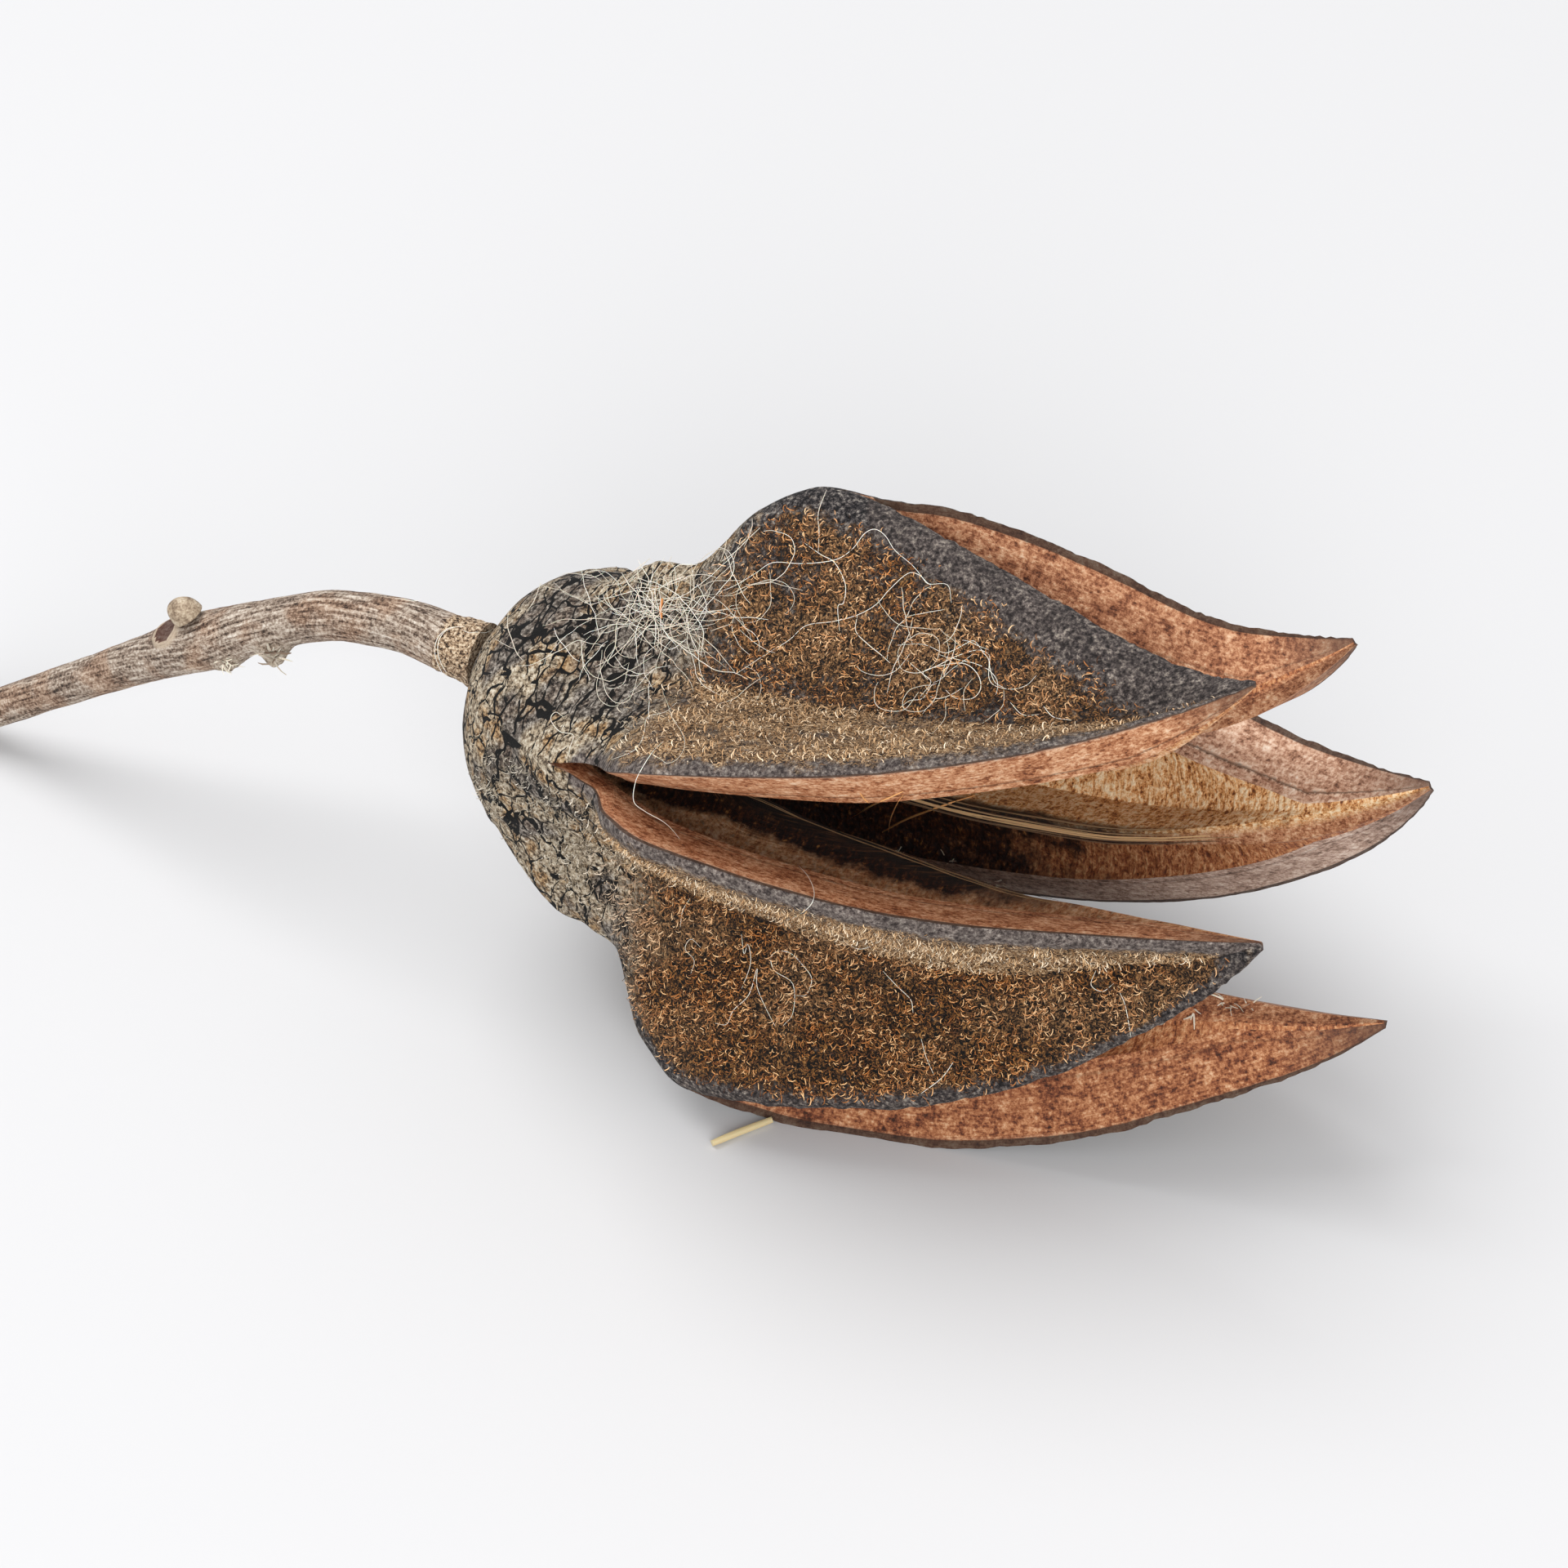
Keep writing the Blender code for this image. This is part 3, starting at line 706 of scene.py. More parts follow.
def skinMaterial():
    made, add, carried, shader = newMaterial("Weathered husk skin", 0.88, 0.3, "crestMm", "down", "pale",
        "neck", "alongMm", "aroundMm")
    place = mmPlace(add)
    strip = carried["crestMm"]
    down = carried["down"]
    pale = carried["pale"]
    neck = carried["neck"]
    speck, curl, clump, patch = (add("TexNoise", (place, 1 / size, *rest))
        for size, *rest in skinLook["noises"])
    # darker and more cracked beside the stem
    nearStem = add("MapRange", (carried["alongMm"], *skinLook["nearStemMm"], 0.07, 0.0))
    patch = add("Math", (patch, nearStem), operation="ADD")
    rind = add("ValToRGB", (speck,), ((0.38, "#0A090A"), (0.46, "#262326"), (0.54, "#57514F"),
        (0.61, "#8D857E"), (0.7, "#CFC6B9")))
    brown = add("ValToRGB", (curl,), ((0.42, "#040302"), (0.49, "#201308"), (0.55, "#623C1A"),
        (0.64, "#AE7A40")))
    tan = add("ValToRGB", (curl,), ((0.4, "#0E0905"), (0.46, "#5C4029"), (0.51, "#B08558"),
        (0.57, "#D6B184"), (0.66, "#F4E4C8")))
    felt = add("Mix", (pale, brown, tan), data_type="RGBA")
    # the down thins out in clumps
    thick = add("Math", (down, 0.75, clump), operation="MULTIPLY_ADD")
    thick = add("Math", (pale, 0.3, thick), operation="MULTIPLY_ADD")
    base = add("Mix", (add("MapRange", (thick, 0.66, 0.98)), rind, felt), data_type="RGBA")
    bark = add("ValToRGB", (speck,), ((0.37, "#1C150F"), (0.44, "#7A6954"), (0.5, "#B4A187"),
        (0.57, "#D5C6AD"), (0.67, "#F4EBDA")))
    barkWarm = add("ValToRGB", (speck,), ((0.37, "#140E09"), (0.44, "#674D33"), (0.5, "#A9845A"),
        (0.62, "#DDBF95")))
    barkSlate = add("ValToRGB", (speck,), ((0.38, "#110E0E"), (0.46, "#3A3636"), (0.54, "#6C6664"),
        (0.65, "#B8AEA4")))
    bark = add("Mix", (add("MapRange", (clump, 0.5, 0.6)), bark, barkWarm), data_type="RGBA")
    bark = add("Mix", (add("MapRange", (patch, 0.52, 0.6, 0.0, 0.8)), bark, barkSlate), data_type="RGBA")
    barkCover = add("MapRange", (add("Math", (neck, clump), operation="ADD"), 0.62, 1.0))
    base = add("Mix", (barkCover, base, bark), data_type="RGBA")
    # bare strip along a split ridge, ragged on its inner side
    slate = add("ValToRGB", (speck,), ((0.37, "#3C322F"), (0.46, "#6F635E"), (0.55, "#94877F"),
        (0.67, "#C6BBB0")))
    charcoal = add("ValToRGB", (speck,), ((0.38, "#1A1616"), (0.46, "#403938"), (0.55, "#6A605C"),
        (0.67, "#B5A99B")))
    edge = add("Mix", (pale, charcoal, slate), data_type="RGBA")
    edge = add("Mix", (add("MapRange", (clump, 0.42, 0.6, 0.35, 0.0)), edge, colour("#2B2423")),
        data_type="RGBA")
    ragged = add("Math", (clump, 2.6, strip), operation="MULTIPLY_ADD")
    base = add("Mix", (add("MapRange", (ragged, 1.1, 1.9, 1.0, 0.0)), base, edge), data_type="RGBA")
    # black cracks between plates: fine ones all over the bark and a few long ones round the neck
    warp = add("TexNoise", (place, 0.5, 2.0)).outputs["Color"]
    warp = add("VectorMath", (warp, 0.9), operation="SCALE")
    fineWidth = add("Math", (barkCover, add("MapRange", (clump, 0.4, 0.55, 0.0, skinLook["crackShare"]))),
        operation="MULTIPLY")
    longWidth = add("Math", (neck, add("MapRange", (patch, 0.4, 0.55, 0.0, skinLook["tornShare"]))),
        operation="MULTIPLY")
    fine = crackLines(add, carried, warp, skinLook["plateMm"], fineWidth)
    crack = add("Math", (fine, crackLines(add, carried, warp, skinLook["tornMm"], longWidth)),
        operation="MAXIMUM")
    base = add("Mix", (crack, base, colour("#080605")), data_type="RGBA")
    height = add("Math", (add("Math", (curl, speck), operation="ADD"), clump), operation="ADD")
    height = add("Math", (crack, -1.6, height), operation="MULTIPLY_ADD")
    bump = add("Bump", {"Strength": 1.0, "Distance": 0.0004, "Height": height})
    feed(shader, {"Base Color": base, "Normal": bump})
    return made


# what the mesh carries for every material inside
insideCarries = ("alongMm", "crestMm", "valveNo", "red", "faceShare")

# Torn husk wood: the split faces, red-brown and granular, with grain along the valve and a darker
# line where the inner layer begins. It takes a dull sheen at a low angle.
faceLook = {
    "fleckMm": (1.1, 0.2),
    "tipMm": (62.0, 69.0),
    # size in mm, detail and roughness of granule and mottle
    "noises": ((0.34, 4.0, 0.75), (1.5, 4.0, 0.6)),
}


# a pattern laid along the valve and across it, in mm, and different on every wing
def wingPlace(add, carried, alongMm, acrossMm):
    return surfacePlace(add, (carried["alongMm"], 1 / alongMm), (carried["crestMm"], 1 / acrossMm),
        (carried["valveNo"], 37.0))


# the raw wood's colour, from lightly tanned to red, and its grain
def woodColour(add, carried, place):
    fleck = add("TexNoise", (wingPlace(add, carried, *faceLook["fleckMm"]), 1.0, 4.0, 0.6))
    granule, mottle = (add("TexNoise", (place, 1 / size, *rest)) for size, *rest in faceLook["noises"])
    grain = add("Mix", (0.7, fleck, granule))
    mixed = add("Mix", (0.3, grain, mottle))
    tanned = add("ValToRGB", (mixed,), ((0.39, "#6A3419"), (0.45, "#A8683F"), (0.5, "#CC9168"),
        (0.56, "#E6B892"), (0.66, "#F8E2C8")))
    red = add("ValToRGB", (mixed,), ((0.39, "#33180B"), (0.45, "#703B23"), (0.5, "#9B5F3B"),
        (0.55, "#BC835A"), (0.64, "#DFB995")))
    # the red share per wing also paints each face's shade and light: redder faces are darker
    return (add("Mix", (carried["red"], tanned, red), data_type="RGBA"), mixed)


def faceMaterial():
    made, add, carried, shader = newMaterial("Torn husk wood", 0.72, 0.35, *insideCarries, "pale")
    place = mmPlace(add)
    wood, mixed = woodColour(add, carried, place)
    grey = add("ValToRGB", (mixed,), ((0.38, "#594437"), (0.45, "#947A69"), (0.51, "#BDA393"),
        (0.58, "#D8C6B8"), (0.68, "#EEE3D8")))
    base = add("Mix", (carried["pale"], wood, grey), data_type="RGBA")
    # the outer skin shows as a dark ragged line at the crest
    ragged = add("Math", (mixed, -0.9, carried["crestMm"]), operation="MULTIPLY_ADD")
    base = add("Mix", (add("MapRange", (ragged, -0.42, -0.18, 0.85, 0.0)), base, colour("#241A16")),
        data_type="RGBA")
    # and the inner layer as another near the chamber, faint where the wood is red
    layer = add("Math", (mixed, 0.2, carried["faceShare"]), operation="MULTIPLY_ADD")
    layer = add("Math", (add("Math", (layer, 0.92), operation="SUBTRACT"),), operation="ABSOLUTE")
    lineShare = add("Math", (carried["red"], -0.45, 0.8), operation="MULTIPLY_ADD")
    line = add("Math", (add("MapRange", (layer, 0.0, 0.035, 1.0, 0.0)), lineShare), operation="MULTIPLY")
    base = add("Mix", (line, base, colour("#38200F")), data_type="RGBA")
    # tips are weathered dark
    tip = add("MapRange", (carried["alongMm"], *faceLook["tipMm"], 0.0, 0.75))
    base = add("Mix", (tip, base, colour("#4B362C")), data_type="RGBA")
    bump = add("Bump", {"Strength": 0.9, "Distance": 0.0004, "Height": mixed})
    feed(shader, {"Base Color": base, "Normal": bump})
    return made


# Papery chamber lining: thin, polished by the seeds, golden brown with short streaks across, and
# almost black deep in the bowl, partly a real stain and partly painted shade. Smoother than the split faces.
liningLook = {
    "streakMm": (0.3, 1.1),
    "deepMm": (30.0, 48.0),
    "bowlShadeMm": (15.0, 26.0),
    "sheetMm": (40.0, 54.0),
    # size in mm, detail and roughness of fleck and patch
    "noises": ((0.4, 4.0, 0.75), (2.6, 5.0, 0.65)),
}


# the lining's colour over the given red one, and its relief
def liningColour(add, carried, place, red=None):
    streak = add("TexNoise", (wingPlace(add, carried, *liningLook["streakMm"]), 1 / 1.1, 4.0, 0.65, 2.0,
        0.9))
    fleck, patch = (add("TexNoise", (place, 1 / size, *rest)) for size, *rest in liningLook["noises"])
    mixed = add("Mix", (0.6, streak, fleck))
    gold = add("ValToRGB", (mixed,), ((0.39, "#64320F"), (0.45, "#C27E42"), (0.5, "#EAB478"),
        (0.58, "#FCE2BA")))
    russet = add("ValToRGB", (mixed,), ((0.39, "#5A2A14"), (0.46, "#985730"), (0.52, "#BA7A4C"),
        (0.62, "#E0AE80")))
    base = add("Mix", (add("MapRange", (carried["red"], 0.1, 0.4)), gold, red or russet), data_type="RGBA")
    # near-black brown for the stain and for the painted shade
    stainAndShadeColour = add("ValToRGB", (mixed,), ((0.42, "#0E0402"), (0.5, "#270E06"), (0.58, "#5A2E12"),
        (0.66, "#B98648")))
    along = carried["alongMm"]
    stain = carried["stain"]
    # the chamber darkens towards its base, partly a real stain and partly painted shade that fades towards
    # the tip, and every golden chamber gets painted shade deep in its bowl
    deep = add("MapRange", (along, *liningLook["deepMm"], 1.0, 0.0))
    dark = add("Math", (add("Math", (stain, deep), operation="MULTIPLY"), 0.75, patch),
        operation="MULTIPLY_ADD")
    paler = add("Math", (1.0, carried["red"]), operation="SUBTRACT")
    bowlShade = add("Math", (add("MapRange", (along, *liningLook["bowlShadeMm"], 0.45,
        0.0)), paler), operation="MULTIPLY")
    dark = add("Math", (dark, bowlShade), operation="ADD")
    # and painted shade darkens the partition towards its edge, all but its end
    partitionShade = add("MapRange", (carried["faceShare"], 1.5, 1.9, 0.0, 0.4))
    inner = add("MapRange", (along, *liningLook["sheetMm"], 1.0, 0.0))
    dark = add("Math", (partitionShade, inner, dark), operation="MULTIPLY_ADD")
    return (add("Mix", (add("MapRange", (dark, 0.64, 0.86)), base, stainAndShadeColour), data_type="RGBA"),
        add("Math", (mixed, patch), operation="ADD"))


def liningMaterial():
    made, add, carried, shader = newMaterial("Papery chamber lining", 0.52, 0.45, *insideCarries, "stain")
    base, height = liningColour(add, carried, mmPlace(add))
    bump = add("Bump", {"Strength": 1.0, "Distance": 0.0004, "Height": height})
    feed(shader, {"Base Color": base, "Normal": bump})
    return made


# Partition: lined like the chambers, and towards its torn edge a dark band of loose fibres
sheetLook = {"fibreMm": (3.0, 0.12)}


def sheetMaterial():
    made, add, carried, shader = newMaterial("Fibrous partition", 0.66, 0.4, *insideCarries, "stain")
    place = mmPlace(add)
    wood, _ = woodColour(add, carried, place)
    base, height = liningColour(add, carried, place, wood)
    fibre = add("TexNoise", (wingPlace(add, carried, *sheetLook["fibreMm"]), 1.0, 4.0, 0.6))
    torn = add("ValToRGB", (fibre,), ((0.42, "#0B0402"), (0.52, "#1E0F07"), (0.6, "#3C2110"),
        (0.7, "#7A5230")))
    atEdge = add("MapRange", (carried["faceShare"], 1.75, 1.9))
    atEdge = add("Math", (atEdge, add("MapRange", (carried["alongMm"], *liningLook["sheetMm"], 1.0, 0.0))),
        operation="MULTIPLY")
    base = add("Mix", (atEdge, base, torn), data_type="RGBA")
    height = add("Math", (height, fibre), operation="ADD")
    bump = add("Bump", {"Strength": 0.9, "Distance": 0.0003, "Height": height})
    feed(shader, {"Base Color": base, "Normal": bump})
    return made


for made in (skinMaterial(), faceMaterial(), liningMaterial(), sheetMaterial()):
    huskPiece.data.materials.append(made)
report("husk materials")


# Geometry Nodes trees start with their named sizes
def newTree(name, sizes):
    tree = bpy.data.node_groups.new(name, "GeometryNodeTree")
    face = tree.interface
    face.new_socket("Geometry", in_out="INPUT", socket_type="NodeSocketGeometry")
    face.new_socket("Geometry", in_out="OUTPUT", socket_type="NodeSocketGeometry")
    for label, (kind, value) in sizes.items():
        socket = face.new_socket(label, in_out="INPUT", socket_type=kind)
        if value is not None:
            socket.default_value = value
    add = partial(addNode, tree)
    return tree, add, add("NodeGroupInput"), add("NodeGroupOutput")


# runs a tree on a host and keeps the result as a plain mesh
def grow(name, host, tree, sizes):
    modifier = host.modifiers.new(name, "NODES")
    modifier.node_group = tree
    for item in tree.interface.items_tree:
        if item.in_out == "INPUT" and item.name in sizes:
            modifier[item.identifier] = sizes[item.name]
    evaluated = host.evaluated_get(bpy.context.evaluated_depsgraph_get())
    data = bpy.data.meshes.new_from_object(evaluated)
    host.modifiers.remove(modifier)
    data.name = name
    print(name, "triangles:", sum(len(p.vertices) - 2 for p in data.polygons))
    return newObject(name, data)


# The down: short curled hairs, flat ribbons that taper to a point
downPlan = {
    "perMm2": 41.0,
    # length in mm, bend in radians from root to tip, and rise in mm
    "shapes": ((0.34, 1.9, 0.12), (0.58, -1.7, 0.24), (0.28, 3.2, 0.08), (0.44, -1.2, 0.26)),
    "widthMm": 0.06,
    "sunkMm": 0.04,
    "tuftMm": 1.5,
}


def makeHairs():
    shelf = bpy.data.collections.new("downHairs")
    scene.collection.children.link(shelf)
    for number, (length, bend, rise) in enumerate(downPlan["shapes"]):
        steps = np.linspace(0, 1, 4)
        angles = bend * steps - bend / 3
        x = np.concatenate([[0], np.cumsum(np.cos((angles[1:] + angles[:-1]) / 2))]) * length / 3
        y = np.concatenate([[0], np.cumsum(np.sin((angles[1:] + angles[:-1]) / 2))]) * length / 3
        z = rise * np.sin(steps * 2.2) - downPlan["sunkMm"]
        half = downPlan["widthMm"] / 2 * np.array([0.8, 1.0, 0.75, 0.0])
        corners = []
        for i in range(4):
            sideways = np.array([-math.sin(angles[i]), math.cos(angles[i]), 0.25 * math.sin(3 * i)])
            middle = np.array([x[i], y[i], z[i]])
            corners += [middle - half[i] * sideways, middle + half[i] * sideways][: 1 if i == 3 else 2]
        data = bpy.data.meshes.new(f"downHair{number}")
        data.from_pydata([tuple(c * mm) for c in corners], [], [(0, 2, 3, 1), (2, 4, 5, 3), (4, 6, 5)])
        data.shade_smooth()
        shelf.objects.link(bpy.data.objects.new(data.name, data))
    return shelf


def downTree(look):
    tree, add, start, end = newTree("downOnHusk", {"Hair Shapes": ("NodeSocketCollection", None),
        "Hairs per mm2": ("NodeSocketFloat", 6.0), "Tuft Size": ("NodeSocketFloat", 0.0015),
        "Valve": ("NodeSocketFloat", 0.0), "Seed": ("NodeSocketInt", 1)})
    sizes = start.outputs
    down, valveNo = (add("GeometryNodeInputNamedAttribute", {"Name": label}, data_type="FLOAT")
        for label in ("down", "valveNo"))
    off = add("Math", (valveNo, sizes["Valve"]), operation="SUBTRACT")
    off = add("Math", (off,), operation="ABSOLUTE")
    here = add("Math", (off, 0.1), operation="LESS_THAN")
    perM2 = add("Math", (sizes["Hairs per mm2"], 1000000.0), operation="MULTIPLY")
    density = add("Math", (perM2, down), operation="MULTIPLY")
    density = add("Math", (density, here), operation="MULTIPLY")
    # the hairs stand in tufts
    perTuft = add("Math", (1.0, sizes["Tuft Size"]), operation="DIVIDE")
    tuft = add("TexNoise", {"Scale": perTuft, "Detail": 2.0})
    tufted = add("MapRange", (tuft, 0.45, 0.55, 0.06))
    density = add("Math", (density, tufted), operation="MULTIPLY")
    points = add("GeometryNodeDistributePointsOnFaces", {"Mesh": sizes["Geometry"], "Density": density,
        "Seed": sizes["Seed"]}, distribute_method="RANDOM")
    lean = add("FunctionNodeRandomValue", {"Min": (-0.3, -0.45, 0.0), "Max": (0.3, 0.15, 6.2832),
        "Seed": sizes["Seed"]}, data_type="FLOAT_VECTOR")
    turn = add("FunctionNodeEulerToRotation", {"Euler": lean.outputs["Value"]})
    turned = add("FunctionNodeRotateRotation", {"Rotation": points.outputs["Rotation"], "Rotate By": turn},
        rotation_space="LOCAL")
    size = add("FunctionNodeRandomValue", {"Min": 0.65, "Max": 1.35, "Seed": sizes["Seed"]},
        data_type="FLOAT")
    shapes = add("GeometryNodeCollectionInfo", {"Collection": sizes["Hair Shapes"],
        "Separate Children": True, "Reset Children": True})
    hairs = add("GeometryNodeInstanceOnPoints", {"Points": points.outputs["Points"], "Instance": shapes,
        "Pick Instance": True, "Rotation": turned, "Scale": size})
    tone = add("FunctionNodeRandomValue", {"Seed": 91}, data_type="FLOAT")
    toned = add("GeometryNodeStoreNamedAttribute", {"Geometry": hairs, "Name": "tone", "Value": tone},
        data_type="FLOAT", domain="INSTANCE")
    real = add("GeometryNodeRealizeInstances", {"Geometry": toned})
    worn = add("GeometryNodeSetMaterial", {"Geometry": real, "Material": look})
    feed(end, {"Geometry": worn})
    return tree


# Curled husk hair: dry and dull, from dark brown over gold to cream, tan on the pale wings
def downMaterial():
    made, add, carried, shader = newMaterial("Curled husk hair", 0.75, 0.35, "tone", "pale", "neck")
    tone = carried["tone"]
    golden = add("ValToRGB", (tone,), ((0.0, "#140904"), (0.34, "#623817"), (0.68, "#BA7437"),
        (1.0, "#F2C48C")))
    tan = add("ValToRGB", (tone,), ((0.0, "#50351E"), (0.3, "#B88E62"), (0.65, "#EACA9C"),
        (1.0, "#FFF6E0")))
    base = add("Mix", (carried["pale"], golden, tan), data_type="RGBA")
    greyed = add("ValToRGB", (tone,), ((0.0, "#4E463A"), (0.5, "#A79C88"), (1.0, "#E6DECF")))
    base = add("Mix", (carried["neck"], base, greyed), data_type="RGBA")
    feed(shader, {"Base Color": base})
    return made


hairShelf = makeHairs()
downLook = downMaterial()
hairTree = downTree(downLook)
for turn, name in enumerate(order):
    piece = grow("down" + name[0].upper() + name[1:], huskPiece, hairTree,
        {"Hair Shapes": hairShelf, "Hairs per mm2": downPlan["perMm2"],
        "Tuft Size": downPlan["tuftMm"] * mm, "Valve": float(turn), "Seed": 20 + turn})
    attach(piece, "root")
for hair in list(hairShelf.objects):
    bpy.data.objects.remove(hair)
bpy.data.collections.remove(hairShelf)
report("down")

# The stem: its route from the capsule's seat and its widths, in mm, and what stands out of it:
# place along X, degrees round from the top to the front, height and half the length and width
stem = {
    "route": (
        (-0.45, 0.0, 0.1), (-2.9, 0.0, 0.45), (-6.5, 0.1, 0.95), (-11.3, 0.1, 0.5), (-18.5, -0.1, -2.2),
        (-24.6, -0.3, -5.4), (-34.3, 0.0, -11.4), (-45.3, 0.4, -18.4), (-50.3, 0.5, -21.55),
    ),
    "widths": (
        (-0.45, 5.0), (-1.2, 4.6), (-3.0, 4.3), (-3.9, 4.1), (-6.5, 3.9), (-11.0, 3.65), (-17.0, 3.6),
        (-21.0, 3.9), (-24.6, 4.3), (-27.0, 4.0), (-30.0, 3.5), (-37.0, 3.1), (-50.3, 2.8),
    ),
    "leafScar": dict(at=-26.0, round=22, high=0.45, halfLong=1.3, halfWide=1.2),
    "oldStalk": dict(at=-22.4, round=140, high=0.6, halfLong=1.2, halfWide=1.0),
    "tornBranch": dict(at=-18.2, round=140, high=1.3, halfLong=0.9, halfWide=0.9),
    "sides": 84,
    "stations": 330,
    "fissureMm": 0.1,
    "collarFrom": -3.7,
    "wartMm": 0.16,
}
bud = {"at": -23.9, "round": 8, "foot": 2.55, "long": 2.6, "wide": 2.3, "high": 1.5, "sides": 40, "rings": 18}


# the stem's middle at places along X, its way towards the tips, and up and front square to it
def stemFrames(places):
    at, y, z = np.array(stem["route"][::-1]).T
    sides, heights = curveThrough(np.stack([at, y], 1)), curveThrough(np.stack([at, z], 1))
    middle = np.stack([places, sides(places), heights(places)], -1)
    nudge = 0.05
    ahead = np.stack([np.full_like(places, 2 * nudge), sides(places + nudge) - sides(places - nudge),
        heights(places + nudge) - heights(places - nudge)], -1)
    ahead /= np.linalg.norm(ahead, axis=1)[:, None]
    front = np.cross(ahead, (0, 0, 1))
    front /= np.linalg.norm(front, axis=1)[:, None]
    return middle, ahead, np.cross(front, ahead), front


# how far a place and an angle are from a bump, in its half sizes
def fromBump(bump, places, angles, radius):
    along = (places - bump["at"]) / bump["halfLong"]
    turned = (angles - bump["round"] + 180) % 360 - 180
    across = np.radians(turned) * radius / bump["halfWide"]
    return np.hypot(along, across)


def seated(points):
    placed = (points + np.array(capsule["seat"])) * mm
    placed[..., 2] = np.maximum(placed[..., 2], 0)
    return placed


def gridMesh(name, places, carried, ends):
    rows, columns = places.shape[:2]
    ids = np.arange(rows * columns).reshape(rows, columns)
    nextIds = np.roll(ids, -1, axis=1)
    faces = np.stack([ids[:-1], nextIds[:-1], nextIds[1:], ids[1:]], -1).reshape(-1, 4).tolist()
    faces += [list(ids[0]), list(ids[-1])] if ends else [list(ids[0])]
    data = bpy.data.meshes.new(name)
    data.from_pydata(places.reshape(-1, 3).tolist(), [], faces)
    carry(data, {key: np.broadcast_to(values, (rows, columns)) for key, values in carried.items()})
    mesh = bmesh.new()
    mesh.from_mesh(data)
    bmesh.ops.remove_doubles(mesh, verts=mesh.verts, dist=1e-7)
    bmesh.ops.recalc_face_normals(mesh, faces=mesh.faces)
    bmesh.ops.triangulate(mesh, faces=[f for f in mesh.faces if len(f.verts) > 4])
    mesh.to_mesh(data)
    mesh.free()
    data.shade_smooth()
    data.set_sharp_from_angle(angle=math.radians(50))
    return newObject(name, data)


def buildStem():
    places = np.linspace(stem["route"][0][0], stem["route"][-1][0], stem["stations"])
    angles = np.arange(stem["sides"]) * 360 / stem["sides"]
    middle, ahead, up, front = stemFrames(places)
    at, widths = np.array(stem["widths"][::-1]).T
    plain = curveThrough(np.stack([at, widths / 2], 1))(places)[:, None]
    place, angle = places[:, None], angles[None, :]
    radius = np.broadcast_to(plain, (len(places), len(angles))).copy()
    bumps = [stem[bump] for bump in ("leafScar", "oldStalk", "tornBranch")]
    scar, stalk, torn = away = [fromBump(bump, place, angle, plain) for bump in bumps]
    for bump, off in zip(bumps, away):
        radius += bump["high"] * np.exp(-(off**2))
    # the scar is a sunk oval with a raised border
    radius += 0.14 * np.exp(-(((scar - 0.85) / 0.22) ** 2)) - 0.3 * np.exp(-((scar / 0.6) ** 2))
    turn = np.radians(angle)
    barrel = stacked(place / 2.6, plain * np.cos(turn) / 0.34, plain * np.sin(turn) / 0.34)
    fissure = np.abs(roughness(barrel, 1.0, 3.3))
    fine = roughness(barrel * (1, 2.3, 2.3), 1.0, 8.8)
    collar = ease((place - stem["collarFrom"]) / 0.5)
    barkPlace = stacked(place, plain * np.cos(turn), plain * np.sin(turn))
    warts = roughness(barkPlace, 0.55, 1.7)
    lumps = roughness(barkPlace, 2.6, 4.1)
    knobs = np.exp(-(stalk**2)) + np.exp(-(torn**2))
    relief = (fissure - 0.25) * (1 - collar) + 0.3 * fine
    radius += stem["fissureMm"] * relief * (1 - 0.7 * np.exp(-(scar**2)))
    radius += stem["wartMm"] * (warts * collar + 0.8 * roughness(barkPlace, 0.35, 6.2)
        * knobs) + 0.05 * lumps
    radius[0] = plain[0] * 0.98
    outwards = np.cos(turn)[..., None] * up[:, None] + np.sin(turn)[..., None] * front[:, None]
    shape = seated(middle[:, None] + radius[..., None] * outwards)
    carried = dict(alongMm=place, aroundMm=np.abs(np.radians(angle - 180)) * plain, relief=relief,
        scar=np.where(scar < 0.72, 1.0, 0.0) + 0.5 * np.exp(-(((scar - 0.9) / 0.2) ** 2)), collar=collar,
        fluff=np.clip(np.exp(-((stalk / 0.9) ** 2)) + np.exp(-((torn / 1.2) ** 2)), 0, 1))
    return gridMesh("stemBark", shape, carried, True)


# Twig bark: grey-brown and finely fissured along the stem, lighter on the raised ridges and darker in the
# sunk fissures, dull
stemLook = {
    "fissureMm": 0.3,
    "fissureLongMm": 3.0,
    # size in mm, detail and roughness of speck and patch
    "noises": ((0.25, 3.0, 0.75), (3.4, 4.0, 0.5)),
}


